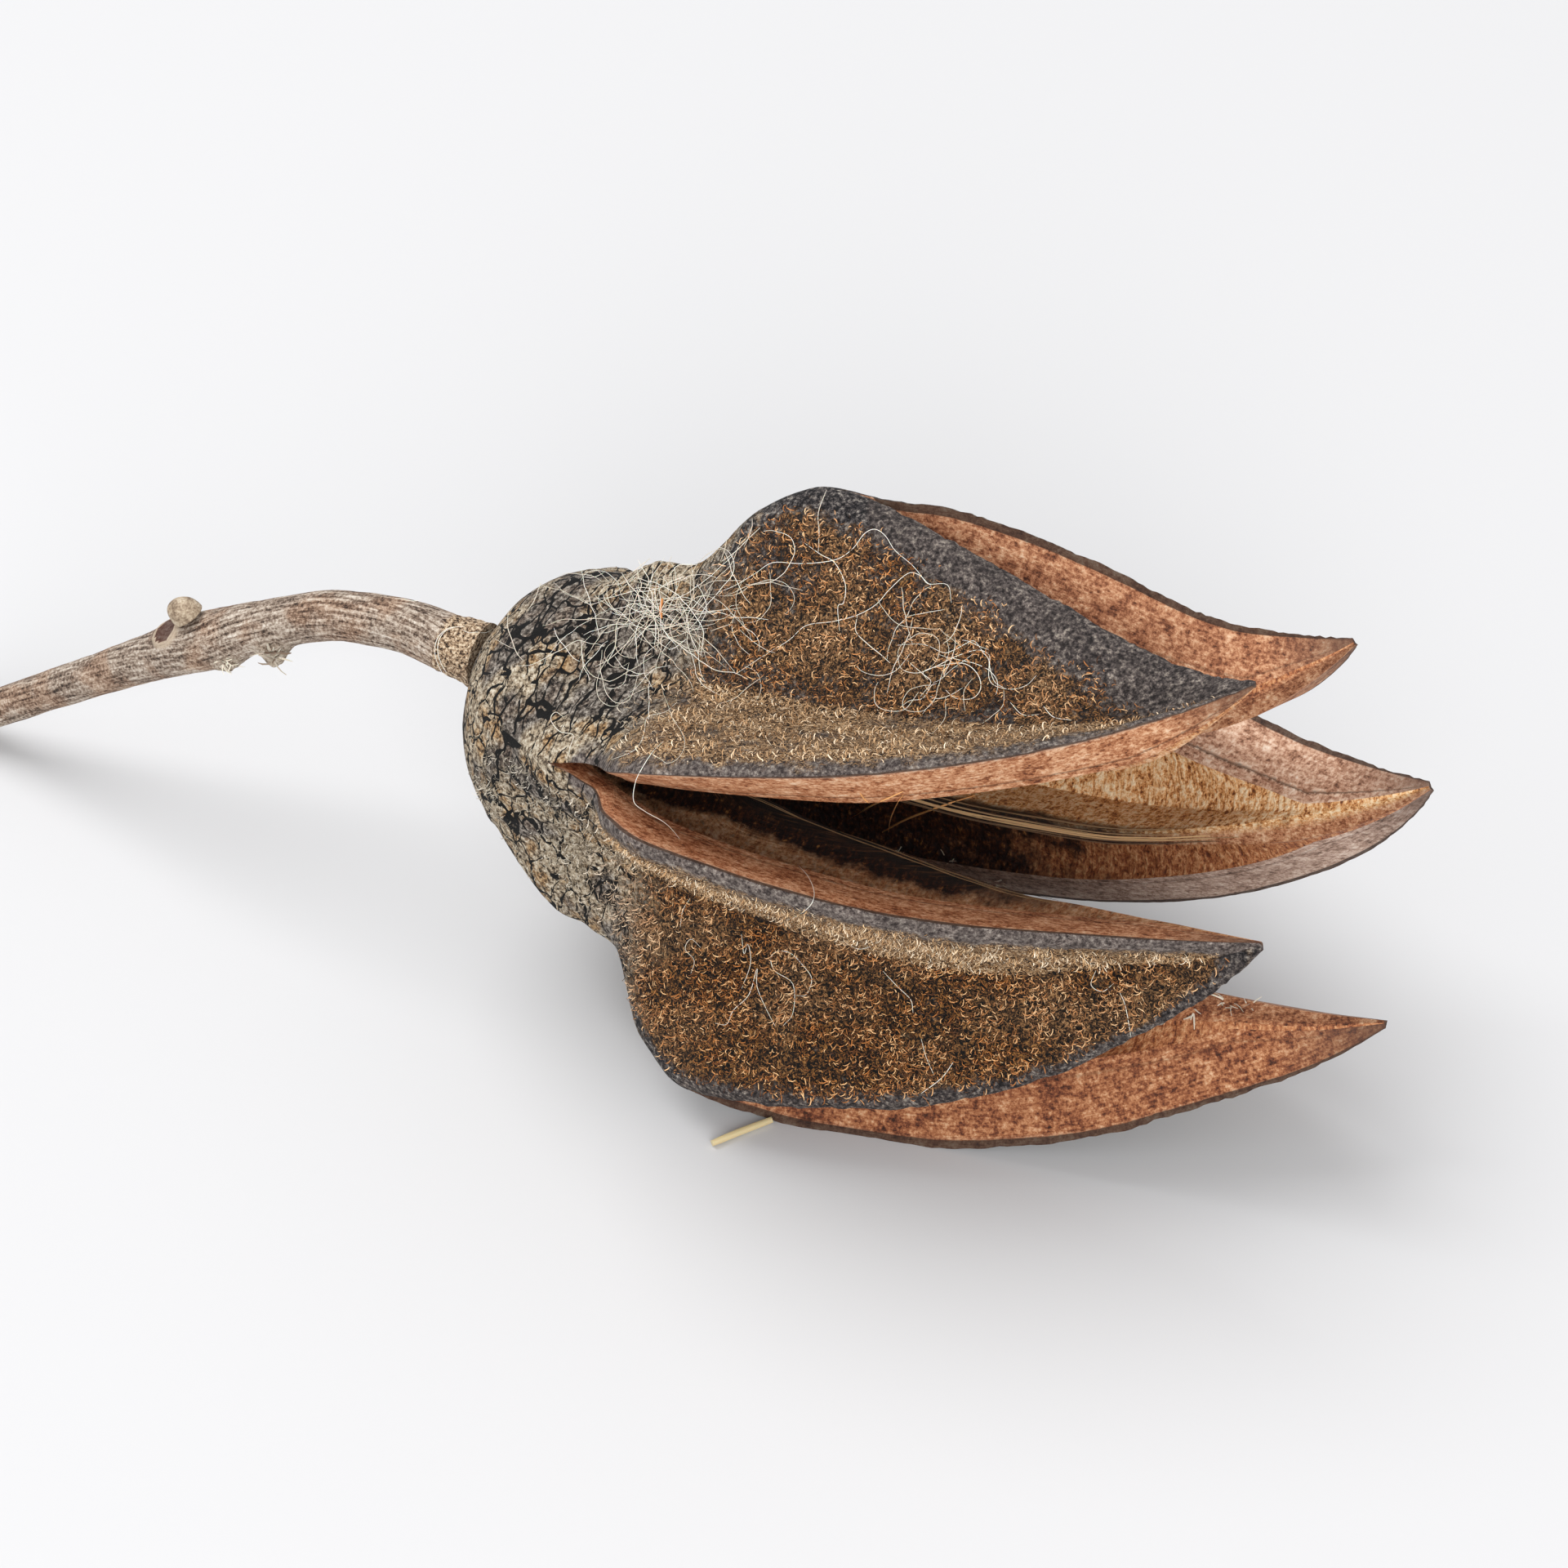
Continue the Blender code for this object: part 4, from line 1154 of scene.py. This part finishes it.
def stemMaterial():
    made, add, carried, shader = newMaterial("Weathered twig bark", 0.85, 0.35, "alongMm", "aroundMm",
        "relief", "collar", "scar", "fluff")
    place = mmPlace(add)
    stretched = surfacePlace(add, (carried["alongMm"], 1 / stemLook["fissureLongMm"]),
        (carried["aroundMm"], 1 / stemLook["fissureMm"]))
    streak = add("TexNoise", (stretched, 1.0, 5.0, 0.7))
    speck, patch = (add("TexNoise", (place, 1 / size, *rest)) for size, *rest in stemLook["noises"])
    mixed = add("Math", (carried["relief"], 0.1, add("Mix", (0.45, streak, speck))),
        operation="MULTIPLY_ADD")
    bark = add("ValToRGB", (mixed,), ((0.39, "#2A201A"), (0.45, "#6F5C4E"), (0.51, "#A08F7F"),
        (0.57, "#C4B6A7"), (0.66, "#E4DBCF")))
    warm = add("ValToRGB", (mixed,), ((0.39, "#33221A"), (0.46, "#765844"), (0.53, "#A5876F"),
        (0.64, "#D3BFAB")))
    base = add("Mix", (add("MapRange", (patch, 0.5, 0.62, 0.0, 0.75)), bark, warm), data_type="RGBA")
    warty = add("ValToRGB", (speck,), ((0.38, "#17110E"), (0.45, "#6B533E"), (0.52, "#AD9173"),
        (0.63, "#DFCDB2")))
    base = add("Mix", (carried["collar"], base, warty), data_type="RGBA")
    scar = carried["scar"]
    scarred = add("ValToRGB", (scar,), ((0.1, "#B09C84"), (0.45, "#C0AE98"), (0.6, "#5A3426"),
        (1.0, "#46251C")))
    base = add("Mix", (add("MapRange", (scar, 0.08, 0.4, 0.0, 0.85)), base, scarred), data_type="RGBA")
    downy = add("ValToRGB", (speck,), ((0.36, "#7E6E5C"), (0.5, "#B5A691"), (0.66, "#D6CCBD")))
    base = add("Mix", (add("Math", (carried["fluff"], 0.8), operation="MULTIPLY"), base, downy),
        data_type="RGBA")
    bump = add("Bump", {"Strength": 0.8, "Distance": 0.00028, "Height": add("Math", (streak, speck),
        operation="ADD")})
    feed(shader, {"Base Color": base, "Normal": bump})
    return made


stemPiece = buildStem()
stemPiece.data.materials.append(stemMaterial())
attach(stemPiece, "root")
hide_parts("stem")
report("stem")


# The bud lies along the stem, blunt and a little hooded over the leaf scar
def buildBud():
    middle, ahead, up, front = (v[0] for v in stemFrames(np.array([float(bud["at"])])))
    turn = math.radians(bud["round"])
    outwards = math.cos(turn) * up + math.sin(turn) * front
    beside = np.cross(ahead, outwards)
    rise = np.linspace(0, math.pi / 2, bud["rings"])[:, None]
    around = (np.arange(bud["sides"]) / bud["sides"] * 2 * math.pi)[None, :]
    hood = -0.22 * np.sin(rise) ** 2 * bud["long"] / 2
    along = bud["long"] / 2 * np.cos(rise) ** 0.8 * np.cos(around) + hood
    across = bud["wide"] / 2 * np.cos(rise) ** 0.8 * np.sin(around)
    high = bud["high"] * np.sin(rise) ** 0.9 + 0 * around
    shape = (middle + (bud["foot"] + high)[..., None] * outwards + along[..., None] * ahead
        + across[..., None] * beside)
    lumps = 0.05 * roughness(shape, 0.7, 2.2) * np.cos(rise)
    shape += lumps[..., None] * outwards
    return gridMesh("budScales", seated(shape), dict(heightShare=np.sin(rise)), False)


# Bud scales under a close khaki-grey felt, smoother than the bark and faintly silky
budLook = {
    # size in mm, detail and roughness of felt and tone
    "noises": ((0.16, 3.0, 0.6), (0.9, 2.0, 0.5)),
}


def budMaterial():
    made, add, carried, shader = newMaterial("Felted bud scale", 0.7, 0.4)
    place = mmPlace(add)
    felt, tone = (add("TexNoise", (place, 1 / size, *rest)) for size, *rest in budLook["noises"])
    khaki = add("ValToRGB", (add("Mix", (0.5, felt, tone)),), ((0.36, "#5C4A3A"), (0.47, "#8F7C66"),
        (0.57, "#B2A18A"), (0.7, "#D2C7B5")))
    bump = add("Bump", {"Strength": 0.6, "Distance": 0.0001, "Height": felt})
    feed(shader, {"Base Color": khaki, "Normal": bump})
    return made


budPiece = buildBud()
budPiece.data.materials.append(budMaterial())
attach(budPiece, "root")
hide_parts("bud")
report("bud")


# Everything below is laid where the photo shows it: its pixels, cast onto the pieces
def solidTree(pieces):
    corners, faces = [], []
    for piece in pieces:
        first = len(corners)
        corners += [v.co.copy() for v in piece.data.vertices]
        faces += [[first + i for i in p.vertices] for p in piece.data.polygons]
    return BVHTree.FromPolygons(corners, faces)


surface = solidTree((huskPiece, stemPiece, budPiece))
eye = camera.matrix_world.translation


def photoWay(x, y):
    side = view["photoSide"]
    reach = view["sensorMm"] / view["lens"] / side
    way = Vector(((x - side / 2) * reach, (side / 2 - y) * reach, -1))
    return (camera.matrix_world.to_3x3() @ way).normalized()


# the surface's point under a pixel, lifted off it in mm, or nothing beside the pieces
def onPieces(x, y, lift=0.0):
    way = photoWay(x, y)
    place, normal, _, _ = surface.ray_cast(eye, way)
    if place is None:
        return None
    if normal.dot(way) > 0:
        normal = -normal
    return place + normal * lift * mm


# a smooth line through the points, with some points between each two
def smoothLine(points, steps):
    points = np.array([tuple(p) for p in points])
    padded = np.vstack([2 * points[0] - points[1], points, 2 * points[-1] - points[-2]])
    made = []
    for i in range(len(points) - 1):
        a, b, c, d = padded[i : i + 4]
        for t in np.arange(steps) / steps:
            made.append(0.5 * (2 * b + (c - a) * t + (2 * a - 5 * b + 4 * c - d) * t * t
                + (3 * b - a - 3 * c + d) * t**3))
    made.append(points[-1])
    return np.array(made)


# one fibre through pixels of the photo: a third value of 1 lets it hang free there
def photoStrand(pixels, lift=0.12, steps=5):
    distances = []
    for pixel in pixels:
        hit = None if len(pixel) > 2 else onPieces(pixel[0], pixel[1], lift)
        distances.append(None if hit is None else (hit - eye).length)
    known = [i for i, d in enumerate(distances) if d is not None]
    if not known:
        return None
    reach = np.interp(range(len(pixels)), known, [distances[i] for i in known])
    points = [eye + photoWay(p[0], p[1]) * r for p, r in zip(pixels, reach)]
    line = smoothLine(points, steps)
    # nowhere under the surface
    for i, point in enumerate(line):
        point = Vector(point)
        way = (point - eye).normalized()
        hit, normal, _, _ = surface.ray_cast(eye, way)
        if hit is not None and (hit - eye).length < (point - eye).length + lift * mm * 0.5:
            line[i] = hit - way * lift * mm
    return line


# fibres as lines of corners, made into round ones by one tree
class Strands:
    def __init__(self):
        self.corners, self.edges, self.tones, self.widths = [], [], [], []

    def add(self, line, tone, width=1.0, taper=0.5):
        if line is None:
            return
        first = len(self.corners)
        self.corners += [tuple(p) for p in line]
        self.edges += [(first + i, first + i + 1) for i in range(len(line) - 1)]
        share = np.linspace(0, 1, len(line))
        self.widths += list(width * (1 - taper * np.abs(2 * share - 1) ** 3))
        self.tones += [tone] * len(line)

    def host(self, name):
        data = bpy.data.meshes.new(name)
        data.from_pydata(self.corners, self.edges, [])
        carry(data, dict(tone=self.tones, thick=self.widths))
        return newObject(name + "Lines", data)


def strandTree():
    tree, add, start, end = newTree("strandsFromLines", {"Fibre Radius": ("NodeSocketFloat", 4e-05),
        "Fibre Sides": ("NodeSocketInt", 4), "Fibre Look": ("NodeSocketMaterial", None)})
    sizes = start.outputs
    thick = add("GeometryNodeInputNamedAttribute", {"Name": "thick"}, data_type="FLOAT")
    curves = add("GeometryNodeMeshToCurve", {"Mesh": sizes["Geometry"]}).outputs["Curve"]
    ring = add("GeometryNodeCurvePrimitiveCircle", {"Resolution": sizes["Fibre Sides"],
        "Radius": sizes["Fibre Radius"]}).outputs["Curve"]
    tubes = add("GeometryNodeCurveToMesh", {"Curve": curves, "Profile Curve": ring, "Scale": thick,
        "Fill Caps": True}).outputs["Mesh"]
    smooth = add("GeometryNodeSetShadeSmooth", {"Geometry": tubes}).outputs["Geometry"]
    real = add("GeometryNodeRealizeInstances", {"Geometry": smooth})
    worn = add("GeometryNodeSetMaterial", {"Geometry": real, "Material": sizes["Fibre Look"]})
    feed(end, {"Geometry": worn})
    return tree


tubeTree = strandTree()


def growStrands(name, strands, radiusMm, look):
    host = strands.host(name)
    made = grow(name, host, tubeTree, {"Fibre Radius": radiusMm * mm, "Fibre Sides": 4, "Fibre Look": look})
    bpy.data.objects.remove(host)
    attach(made, "root")


# Cotton-white plant fibre: fine, smooth and a little see-through, so it looks brighter than the husk
def fibreMaterial(name, low, high, rough):
    made, add, carried, shader = newMaterial(name, rough, 0.5, "tone")
    tinted = add("ValToRGB", (carried["tone"],), ((0.0, low), (1.0, high)))
    feed(shader, {"Base Color": tinted, "Subsurface Weight": 0.15, "Subsurface Scale": 0.0001})
    return made


# Stray fibres caught on the husk: two tangles and single long ones
lint = {
    "radiusMm": 0.027,
    "stepPixels": 9,
    "widestGapMm": 2.0,
    "tangles": (
        # centre, spread in pixels, strands, longest in pixels, and mm off the surface
        ((806, 757), (28, 34), 84, 100, 0.9),
        ((770, 752), (78, 38), 46, 170, 0.5),
        ((868, 740), (52, 44), 24, 150, 0.4),
        ((1150, 806), (34, 30), 20, 130, 0.5),
        ((690, 760), (50, 42), 12, 110, 0.25),
    ),
    "singles": (
        ((1012, 600), (1002, 628), (1003, 651), (1002, 676)),
        ((900, 826), (938, 801), (966, 784), (987, 766), (1020, 761), (1050, 753), (1073, 740),
            (1089, 722), (1112, 702), (1127, 705), (1137, 715), (1160, 716), (1165, 738)),
        ((880, 725), (900, 717), (925, 702), (946, 689), (976, 690), (1002, 689), (1027, 684),
            (1045, 671), (1058, 654), (1071, 648), (1084, 656), (1096, 674), (1117, 692), (1132, 710),
            (1140, 717)),
        ((880, 690), (900, 676), (915, 661), (931, 646)),
        ((850, 752), (880, 750), (900, 756), (920, 756), (941, 759)),
        ((984, 664), (1005, 679), (1022, 689), (1035, 715), (1033, 738), (1026, 743), (1028, 773)),
        ((1050, 753), (1048, 773), (1063, 789), (1079, 802), (1090, 812)),
        ((1099, 790), (1130, 789), (1155, 799), (1168, 796), (1181, 789), (1193, 785), (1204, 799),
            (1211, 809), (1211, 830), (1219, 840), (1239, 844), (1257, 839), (1269, 827)),
        ((1099, 802), (1104, 819), (1124, 824), (1150, 814), (1170, 804), (1196, 796), (1211, 802),
            (1212, 817), (1218, 835), (1229, 842)),
        ((1127, 853), (1140, 835), (1130, 824), (1145, 817), (1178, 812), (1196, 824), (1201, 842),
            (1191, 855), (1170, 855), (1158, 845)),
        ((1104, 865), (1114, 858), (1130, 855), (1140, 840), (1147, 837)),
        ((1165, 851), (1158, 855), (1158, 875), (1153, 886), (1142, 898)),
        ((1237, 860), (1252, 875), (1272, 875)),
        ((1278, 865), (1290, 878), (1312, 882)),
        ((880, 862), (900, 855), (915, 842), (936, 827)),
        ((829, 860), (814, 872), (793, 878), (789, 896), (784, 910), (773, 921), (749, 930)),
        ((812, 908), (799, 921), (786, 941), (778, 958, 1), (776, 981, 1), (789, 993, 1), (812, 1006, 1),
            (824, 1017), (832, 1027)),
        ((690, 878), (681, 872), (675, 877), (676, 885), (686, 896), (702, 900), (698, 915), (697, 923)),
        ((908, 1144), (911, 1168), (916, 1156), (919, 1180), (908, 1211)),
        ((833, 1135), (836, 1115), (845, 1100)),
        ((876, 1253), (890, 1254), (898, 1237), (917, 1218), (927, 1186), (927, 1208), (939, 1237),
            (949, 1256)),
        ((959, 1256), (971, 1240), (971, 1205), (949, 1189), (944, 1173), (952, 1165), (968, 1167),
            (984, 1183), (994, 1199), (987, 1218), (975, 1219)),
        ((978, 1060), (990, 1074), (997, 1093), (992, 1109), (975, 1122), (962, 1127)),
        ((1067, 1159), (1051, 1162), (1035, 1154)),
        ((1081, 1189), (1099, 1208), (1115, 1224), (1118, 1240)),
        ((1128, 1272), (1134, 1294), (1144, 1317)),
        ((1128, 1339), (1153, 1320), (1167, 1301)),
        ((1385, 1270), (1378, 1232), (1371, 1215)),
        ((569, 767), (550, 769), (538, 778), (533, 790), (533, 803), (537, 815), (543, 827)),
        ((556, 768), (545, 773), (538, 783), (536, 797), (540, 812), (547, 824)),
        ((858, 1160), (846, 1150), (839, 1162), (850, 1176), (846, 1192)),
        ((1342, 1188), (1336, 1206), (1350, 1214), (1364, 1204)),
    ),
}


def tangleLine(centre, spread, longest, lift):
    at = np.array(centre) + chance.normal(0, 1, 2) * spread
    heading = chance.uniform(0, 2 * math.pi)
    turning = chance.normal(0, 0.12)
    pixels = []
    for _ in range(int(chance.uniform(0.35, 1) * longest / lint["stepPixels"])):
        pixels.append(tuple(at))
        heading += turning + chance.normal(0, 0.16)
        turning = 0.9 * turning + chance.normal(0, 0.06)
        at = at + lint["stepPixels"] * np.array([math.cos(heading), math.sin(heading)])
        # it bends back to the tangle
        away = (np.array(centre) - at) / np.array(spread) / 2.2
        if np.hypot(*away) > 1:
            pull = math.atan2(*away[::-1]) - heading
            heading += 0.35 * math.sin(pull)
    high = chance.uniform(0.08, lift)
    lifts = [high * (0.4 + 0.6 * math.sin(3 * i / len(pixels))) for i in range(len(pixels))]
    points = [onPieces(x, y, raised) for (x, y), raised in zip(pixels, lifts)]
    points = [p for p in points if p is not None]
    kept = points[:1]
    for point in points[1:]:
        if (point - kept[-1]).length > lint["widestGapMm"] * mm:
            break
        kept.append(point)
    return smoothLine(kept, 2) if len(kept) > 3 else None


def makeLint():
    strands = Strands()
    for centre, spread, number, longest, lift in lint["tangles"]:
        for _ in range(number):
            strands.add(tangleLine(centre, spread, longest, lift), chance.uniform(0, 1),
                chance.uniform(0.6, 1.15))
    for pixels in lint["singles"]:
        strands.add(photoStrand(pixels, 0.14), chance.uniform(0.2, 1), chance.uniform(0.85, 1.2))
    look = fibreMaterial("White plant fibre", "#CFC3AE", "#F6F1E6", 0.6)
    growStrands("strayFibres", strands, lint["radiusMm"], look)


makeLint()
report("stray fibres")

# Loose fibres along the torn edge of each partition, and bristles that span the opening
edgeFibres = {
    "radiusMm": 0.05,
    "perValve": 18,
    "from": (0.2, 0.5),
    "to": (0.66, 0.88),
    "sideMm": 0.7,
    "bristleMm": 0.085,
    "bristles": (
        # thickness share and pixels
        (1.0, ((1080, 1019), (1110, 1003, 1), (1150, 988, 1), (1193, 974))),
        (0.75, ((1043, 1001), (1066, 987, 1), (1090, 976, 1), (1106, 969))),
        (0.75, ((1053, 971), (1058, 978, 1), (1065, 984))),
        (0.5, ((1088, 1019), (1090, 1004, 1), (1098, 985, 1), (1106, 973))),
    ),
}


def makeEdgeFibres():
    strands = Strands()
    for turn, name in enumerate(order):
        for _ in range(edgeFibres["perValve"]):
            begin, end = chance.uniform(*edgeFibres["from"]), chance.uniform(*edgeFibres["to"])
            shares = np.linspace(begin, end, 40)
            offAcross = chance.uniform(-1, 1) * (capsule["partition"] / 2 + 0.08)
            onSide = abs(offAcross) > capsule["partition"] / 2
            offOut = chance.uniform(0.0, edgeFibres["sideMm"]) if onSide else -0.06
            wave = roughness(stacked(shares * 16, chance.uniform(0, 90), 0))
            drift = roughness(stacked(shares * 9, chance.uniform(0, 90), 0))
            edge = np.array([edgeRadius(name, s) for s in shares])
            flap = roughness(stacked(shares * capsule["length"] / husk["waveMm"], turn * husk["waveStep"],
                0))
            fade = 1 - easeFrom(shares, capsule["chamberFades"], capsule["chamberTo"])
            out = edge + offOut - 0.12 * np.abs(wave)
            across = husk["partitionWave"] * flap * fade + offAcross * np.minimum(edge / 1.5,
                1) + 0.12 * drift
            strands.add(laid(valvePoint(name, shares, out, across)), chance.uniform(0, 1),
                chance.uniform(0.7, 1.2), 0.8)
    look = fibreMaterial("Torn partition fibre", "#3A2212", "#C9A274", 0.65)
    growStrands("partitionFibres", strands, edgeFibres["radiusMm"], look)
    bristles = Strands()
    for thick, pixels in edgeFibres["bristles"]:
        bristles.add(photoStrand(pixels, 0.05, 6), chance.uniform(0, 1), thick, 0.6)
    look = fibreMaterial("Orange bristle", "#D08A4C", "#F2B878", 0.45)
    growStrands("bristles", bristles, edgeFibres["bristleMm"], look)


makeEdgeFibres()
report("partition fibres")

# Torn shreds and one chip: short bent ribbons where the photo shows them
shreds = {
    "capsule_husk": (
        # pixel, how many, spread in pixels, length and width in mm, tone
        ((1222, 1080), 9, 7, 0.9, 0.2, 1.0),
        ((1160, 1056), 5, 10, 0.6, 0.14, 0.8),
        ((1500, 1226), 8, 9, 1.1, 0.16, 0.8),
        ((1462, 1240), 5, 6, 0.9, 0.18, 0.7),
        ((1530, 1228), 4, 6, 0.7, 0.12, 0.6),
        ((1105, 1040), 5, 9, 0.6, 0.12, 0.7),
    ),
    "stem_bark": (
        ((334, 806), 14, 7, 1.3, 0.26, 0.45),
        ((344, 800), 8, 4, 0.9, 0.3, 0.2),
        ((278, 812), 16, 9, 0.7, 0.16, 0.85),
        ((298, 816), 7, 6, 0.6, 0.14, 0.8),
    ),
}


def makeShreds(name, groups):
    corners, faces, tones = [], [], []
    for pixel, number, spread, length, width, tone in groups:
        for _ in range(number):
            x, y = np.array(pixel) + chance.normal(0, spread / 2, 2)
            start = onPieces(x, y, -0.05)
            if start is None:
                continue
            way = photoWay(x, y)
            place, normal, _, _ = surface.ray_cast(eye, way)
            side = Vector(chance.normal(0, 1, 3)).cross(normal).normalized()
            long = length * chance.uniform(0.5, 1.2) * mm
            half = width * chance.uniform(0.5, 1.2) / 2 * mm
            lean = chance.uniform(0.25, 0.9)
            twist = normal.cross(side)
            first = len(corners)
            bend = chance.uniform(-0.5, 0.5)
            for i in range(4):
                share = i / 3
                middle = start + side * long * share + normal * long * (
                    lean * share - 0.45 * lean * share**2)
                middle += twist * bend * long * share**2
                wide = half * (1 - 0.6 * share) * chance.uniform(0.7, 1.3)
                corners += [tuple(middle - twist * wide), tuple(middle + twist * wide)]
            faces += [(first + 2 * i, first + 2 * i + 1, first + 2 * i + 3, first + 2 * i + 2)
                for i in range(3)]
            tones += [float(np.clip(tone + chance.normal(0, 0.15), 0, 1))] * 8
    data = bpy.data.meshes.new(name)
    data.from_pydata(corners, [], faces)
    carry(data, dict(tone=tones))
    data.shade_smooth()
    data.materials.append(shredLook)
    made = newObject(name, data)
    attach(made, "root")


# Torn plant tissue: thin, dull, pale where it is fresh and brown where it is old
shredLook = fibreMaterial("Torn plant tissue", "#5E4430", "#E9DFCB", 0.8)
for slot, groups in shreds.items():
    makeShreds("shreds" + slot.split("_")[0].title(), groups)
report("shreds")

# The chip caught in the tangle, and a bit of dry straw half under the capsule
straw = {
    "pixels": ((872, 1400), (903, 1387), (945, 1371)),
    "radius": 0.34,
    "chip": ((811, 733), (809, 746), (810, 757)),
    "chipRadius": 0.11,
}


def makeStraw():
    strands = Strands()
    line = []
    for x, y in straw["pixels"]:
        way = photoWay(x, y)
        line.append(eye + way * ((straw["radius"] * mm - eye.z) / way.z))
    strands.add(smoothLine(line, 5), 0.8, 1.0, 0.15)
    print("straw in mm:", [tuple(round(c / mm, 1) for c in p) for p in line])
    look = fibreMaterial("Dry straw", "#8A6A3C", "#D8C79A", 0.45)
    growStrands("straw", strands, straw["radius"], look)
    chip = Strands()
    chip.add(photoStrand(straw["chip"], 0.75), 0.6, 1.0, 0.4)
    look = fibreMaterial("Orange husk chip", "#B5652D", "#DB9450", 0.6)
    growStrands("chip", chip, straw["chipRadius"], look)


makeStraw()
report("straw and chip")
